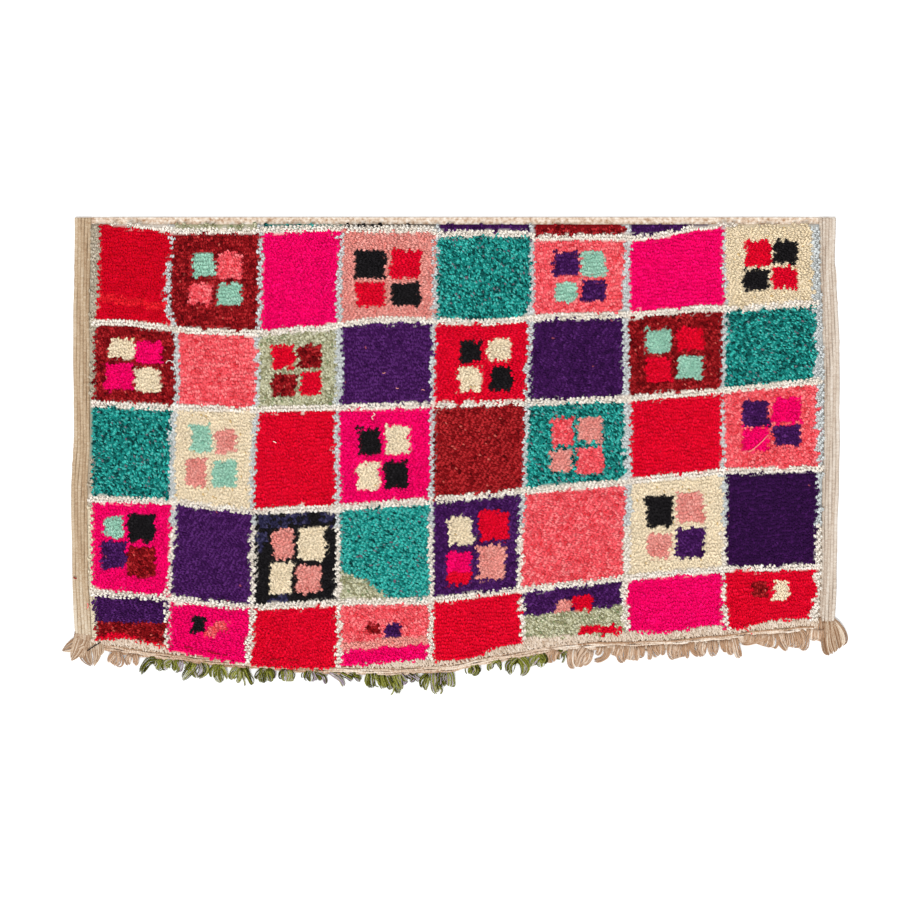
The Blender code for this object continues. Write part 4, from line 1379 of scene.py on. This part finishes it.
looseEnds = [
    ("ivory", 0.7, 3.6, [(-163, 73), (-160, 69), (-165, 66), (-163, 60)]),
    ("ivory", 0.7, 3.6, [(-571, 171), (-563, 176), (-554, 169), (-552, 160)]),
    ("ivory", 0.9, 3.6, [(-360, 17), (-357, 16), (-354, 14)]),
    ("rose", 0.8, 3.6, [(575, -4), (593, 8), (615, 30)]),
    ("rose", 0.7, 3.6, [(-145, 152), (-142, 151), (-139, 153)]),
    ("rose", 0.7, 3.6, [(-118, 123), (-116, 121), (-113, 122)]),
    ("rose", 0.7, 3.6, [(-68, 118), (-65, 119), (-62, 117)]),
    ("red", 1.3, 3.6, [(555, -344), (570, -352), (584, -363)]),
    ("black", 1.2, 3.6, [(-727, -396), (-714, -387), (-701, -379)]),
    ("maroon", 1.2, 3.6, [(-754, -250), (-751, -253), (-748, -252)]),
    ("maroon", 0.9, 3.1, [(-536, -388), (-524, -389), (-512, -394)]),
    ("maroon", 1.0, 3.2, [(-490, -395), (-477, -400), (-465, -402)]),
    ("maroon", 0.9, 3.0, [(-459, -404), (-449, -404)]),
    ("maroon", 0.9, 2.9, [(-382, -412), (-374, -413)]),
    ("maroon", 0.9, 3.0, [(-365, -413), (-343, -412)]),
    ("maroon", 0.8, 2.9, [(-331, -414), (-311, -414)]),
    ("coral", 0.8, 3.6, [(-727, -302), (-725, -307), (-727, -312)]),
]
looseLook = {"steps": 9, "sides": 5, "tone": 0.5}


def makeLooseEnds():
    # One piece for each yarn. Each end follows the polynomial of the lowest degree through its points.
    made = []
    t = np.linspace(0, 1, looseLook["steps"])
    tone = np.full((1, 1), looseLook["tone"])
    for name in dict.fromkeys(row[0] for row in looseEnds):
        parts = []
        for radius, rise, points in [row[1:] for row in looseEnds if row[0] == name]:
            places = np.linspace(0, 1, len(points))
            x, y = (np.polyval(np.polyfit(places, column, len(points) - 1), t) for column in table(points))
            path = np.column_stack([x, y, bedHeight(x, y) + rise * mm])
            radii = np.full((1, len(t)), radius * mm)
            parts.append({"paths": path[None], "radius": radii, "sides": looseLook["sides"], "tone": tone})
        label = "loose" + name.capitalize()
        made.append(yarnPiece(label, parts, spunWool(label, yarns[name])))
    return made


# The studio, in metres, millimetres of lens and degrees

studio = {
    "frameWidth": 1.773,  # of the floor that the picture shows
    "centre": (-0.01182, 0.0),
    "rugTop": 0.012,  # where that width is measured
    "lens": 120,
    "sensor": 36,
    "farthest": 50,
    "floorSize": 60.0,
    "floorColour": (0.90, 0.90, 0.90),
    "floorRoughness": 0.9,
    "floorGloss": 0.1,
    "skyLight": 0.96,
    "sunStrength": 2.1,
    "sunSpread": 25,
    "sunTurn": (38, -14, 0),  # the sun is tipped towards the far end and the left
}


def makeStudio():
    # A flat pale floor, a sun and an even sky, and the camera straight above
    half = studio["floorSize"] / 2
    corners = np.array([(-half, -half, 0), (half, -half, 0), (half, half, 0), (-half, half, 0)])
    floor = makeMesh("floor", corners, [np.array([[0, 1, 2, 3]])])
    material, _, shader = newMaterial("paleFloor")
    shader.inputs["Base Color"].default_value = (*studio["floorColour"], 1)
    shader.inputs["Roughness"].default_value = studio["floorRoughness"]
    shader.inputs["Specular IOR Level"].default_value = studio["floorGloss"]
    floor.data.materials.append(material)
    sun = bpy.data.lights.new("sun", "SUN")
    sun.energy = studio["sunStrength"]
    sun.angle = np.radians(studio["sunSpread"])
    lamp = bpy.data.objects.new("sun", sun)
    lamp.rotation_euler = np.radians(studio["sunTurn"])
    bpy.context.collection.objects.link(lamp)
    world = bpy.data.worlds.new("sky")
    scene.world = world
    world.use_nodes = True
    sky = world.node_tree.nodes["Background"]
    sky.inputs["Color"].default_value = (1, 1, 1, 1)
    sky.inputs["Strength"].default_value = studio["skyLight"]
    camera = bpy.data.cameras.new("camera")
    camera.lens = studio["lens"]
    camera.sensor_width = studio["sensor"]
    camera.clip_end = studio["farthest"]
    holder = bpy.data.objects.new("camera", camera)
    distance = studio["frameWidth"] * studio["lens"] / studio["sensor"]
    holder.location = (*studio["centre"], distance + studio["rugTop"])
    bpy.context.collection.objects.link(holder)
    scene.camera = holder
    scene.view_settings.view_transform = "Standard"


makeStudio()
print("studio made")
rugCloth = makeCloth()
print("cloth made")
pieces = [makeSelvedgeCords(0, "left"), makeSelvedgeCords(1, "right"), makeBed()]
print("bed made")
pieces += makePile()
print("pile made")
pieces += makeNearEnd()
pieces += makeLooseEnds()
print("near end made")
triangles = sum(len(piece.data.loops) - 2 * len(piece.data.polygons) for piece in [rugCloth, *pieces])
print("triangles:", triangles)
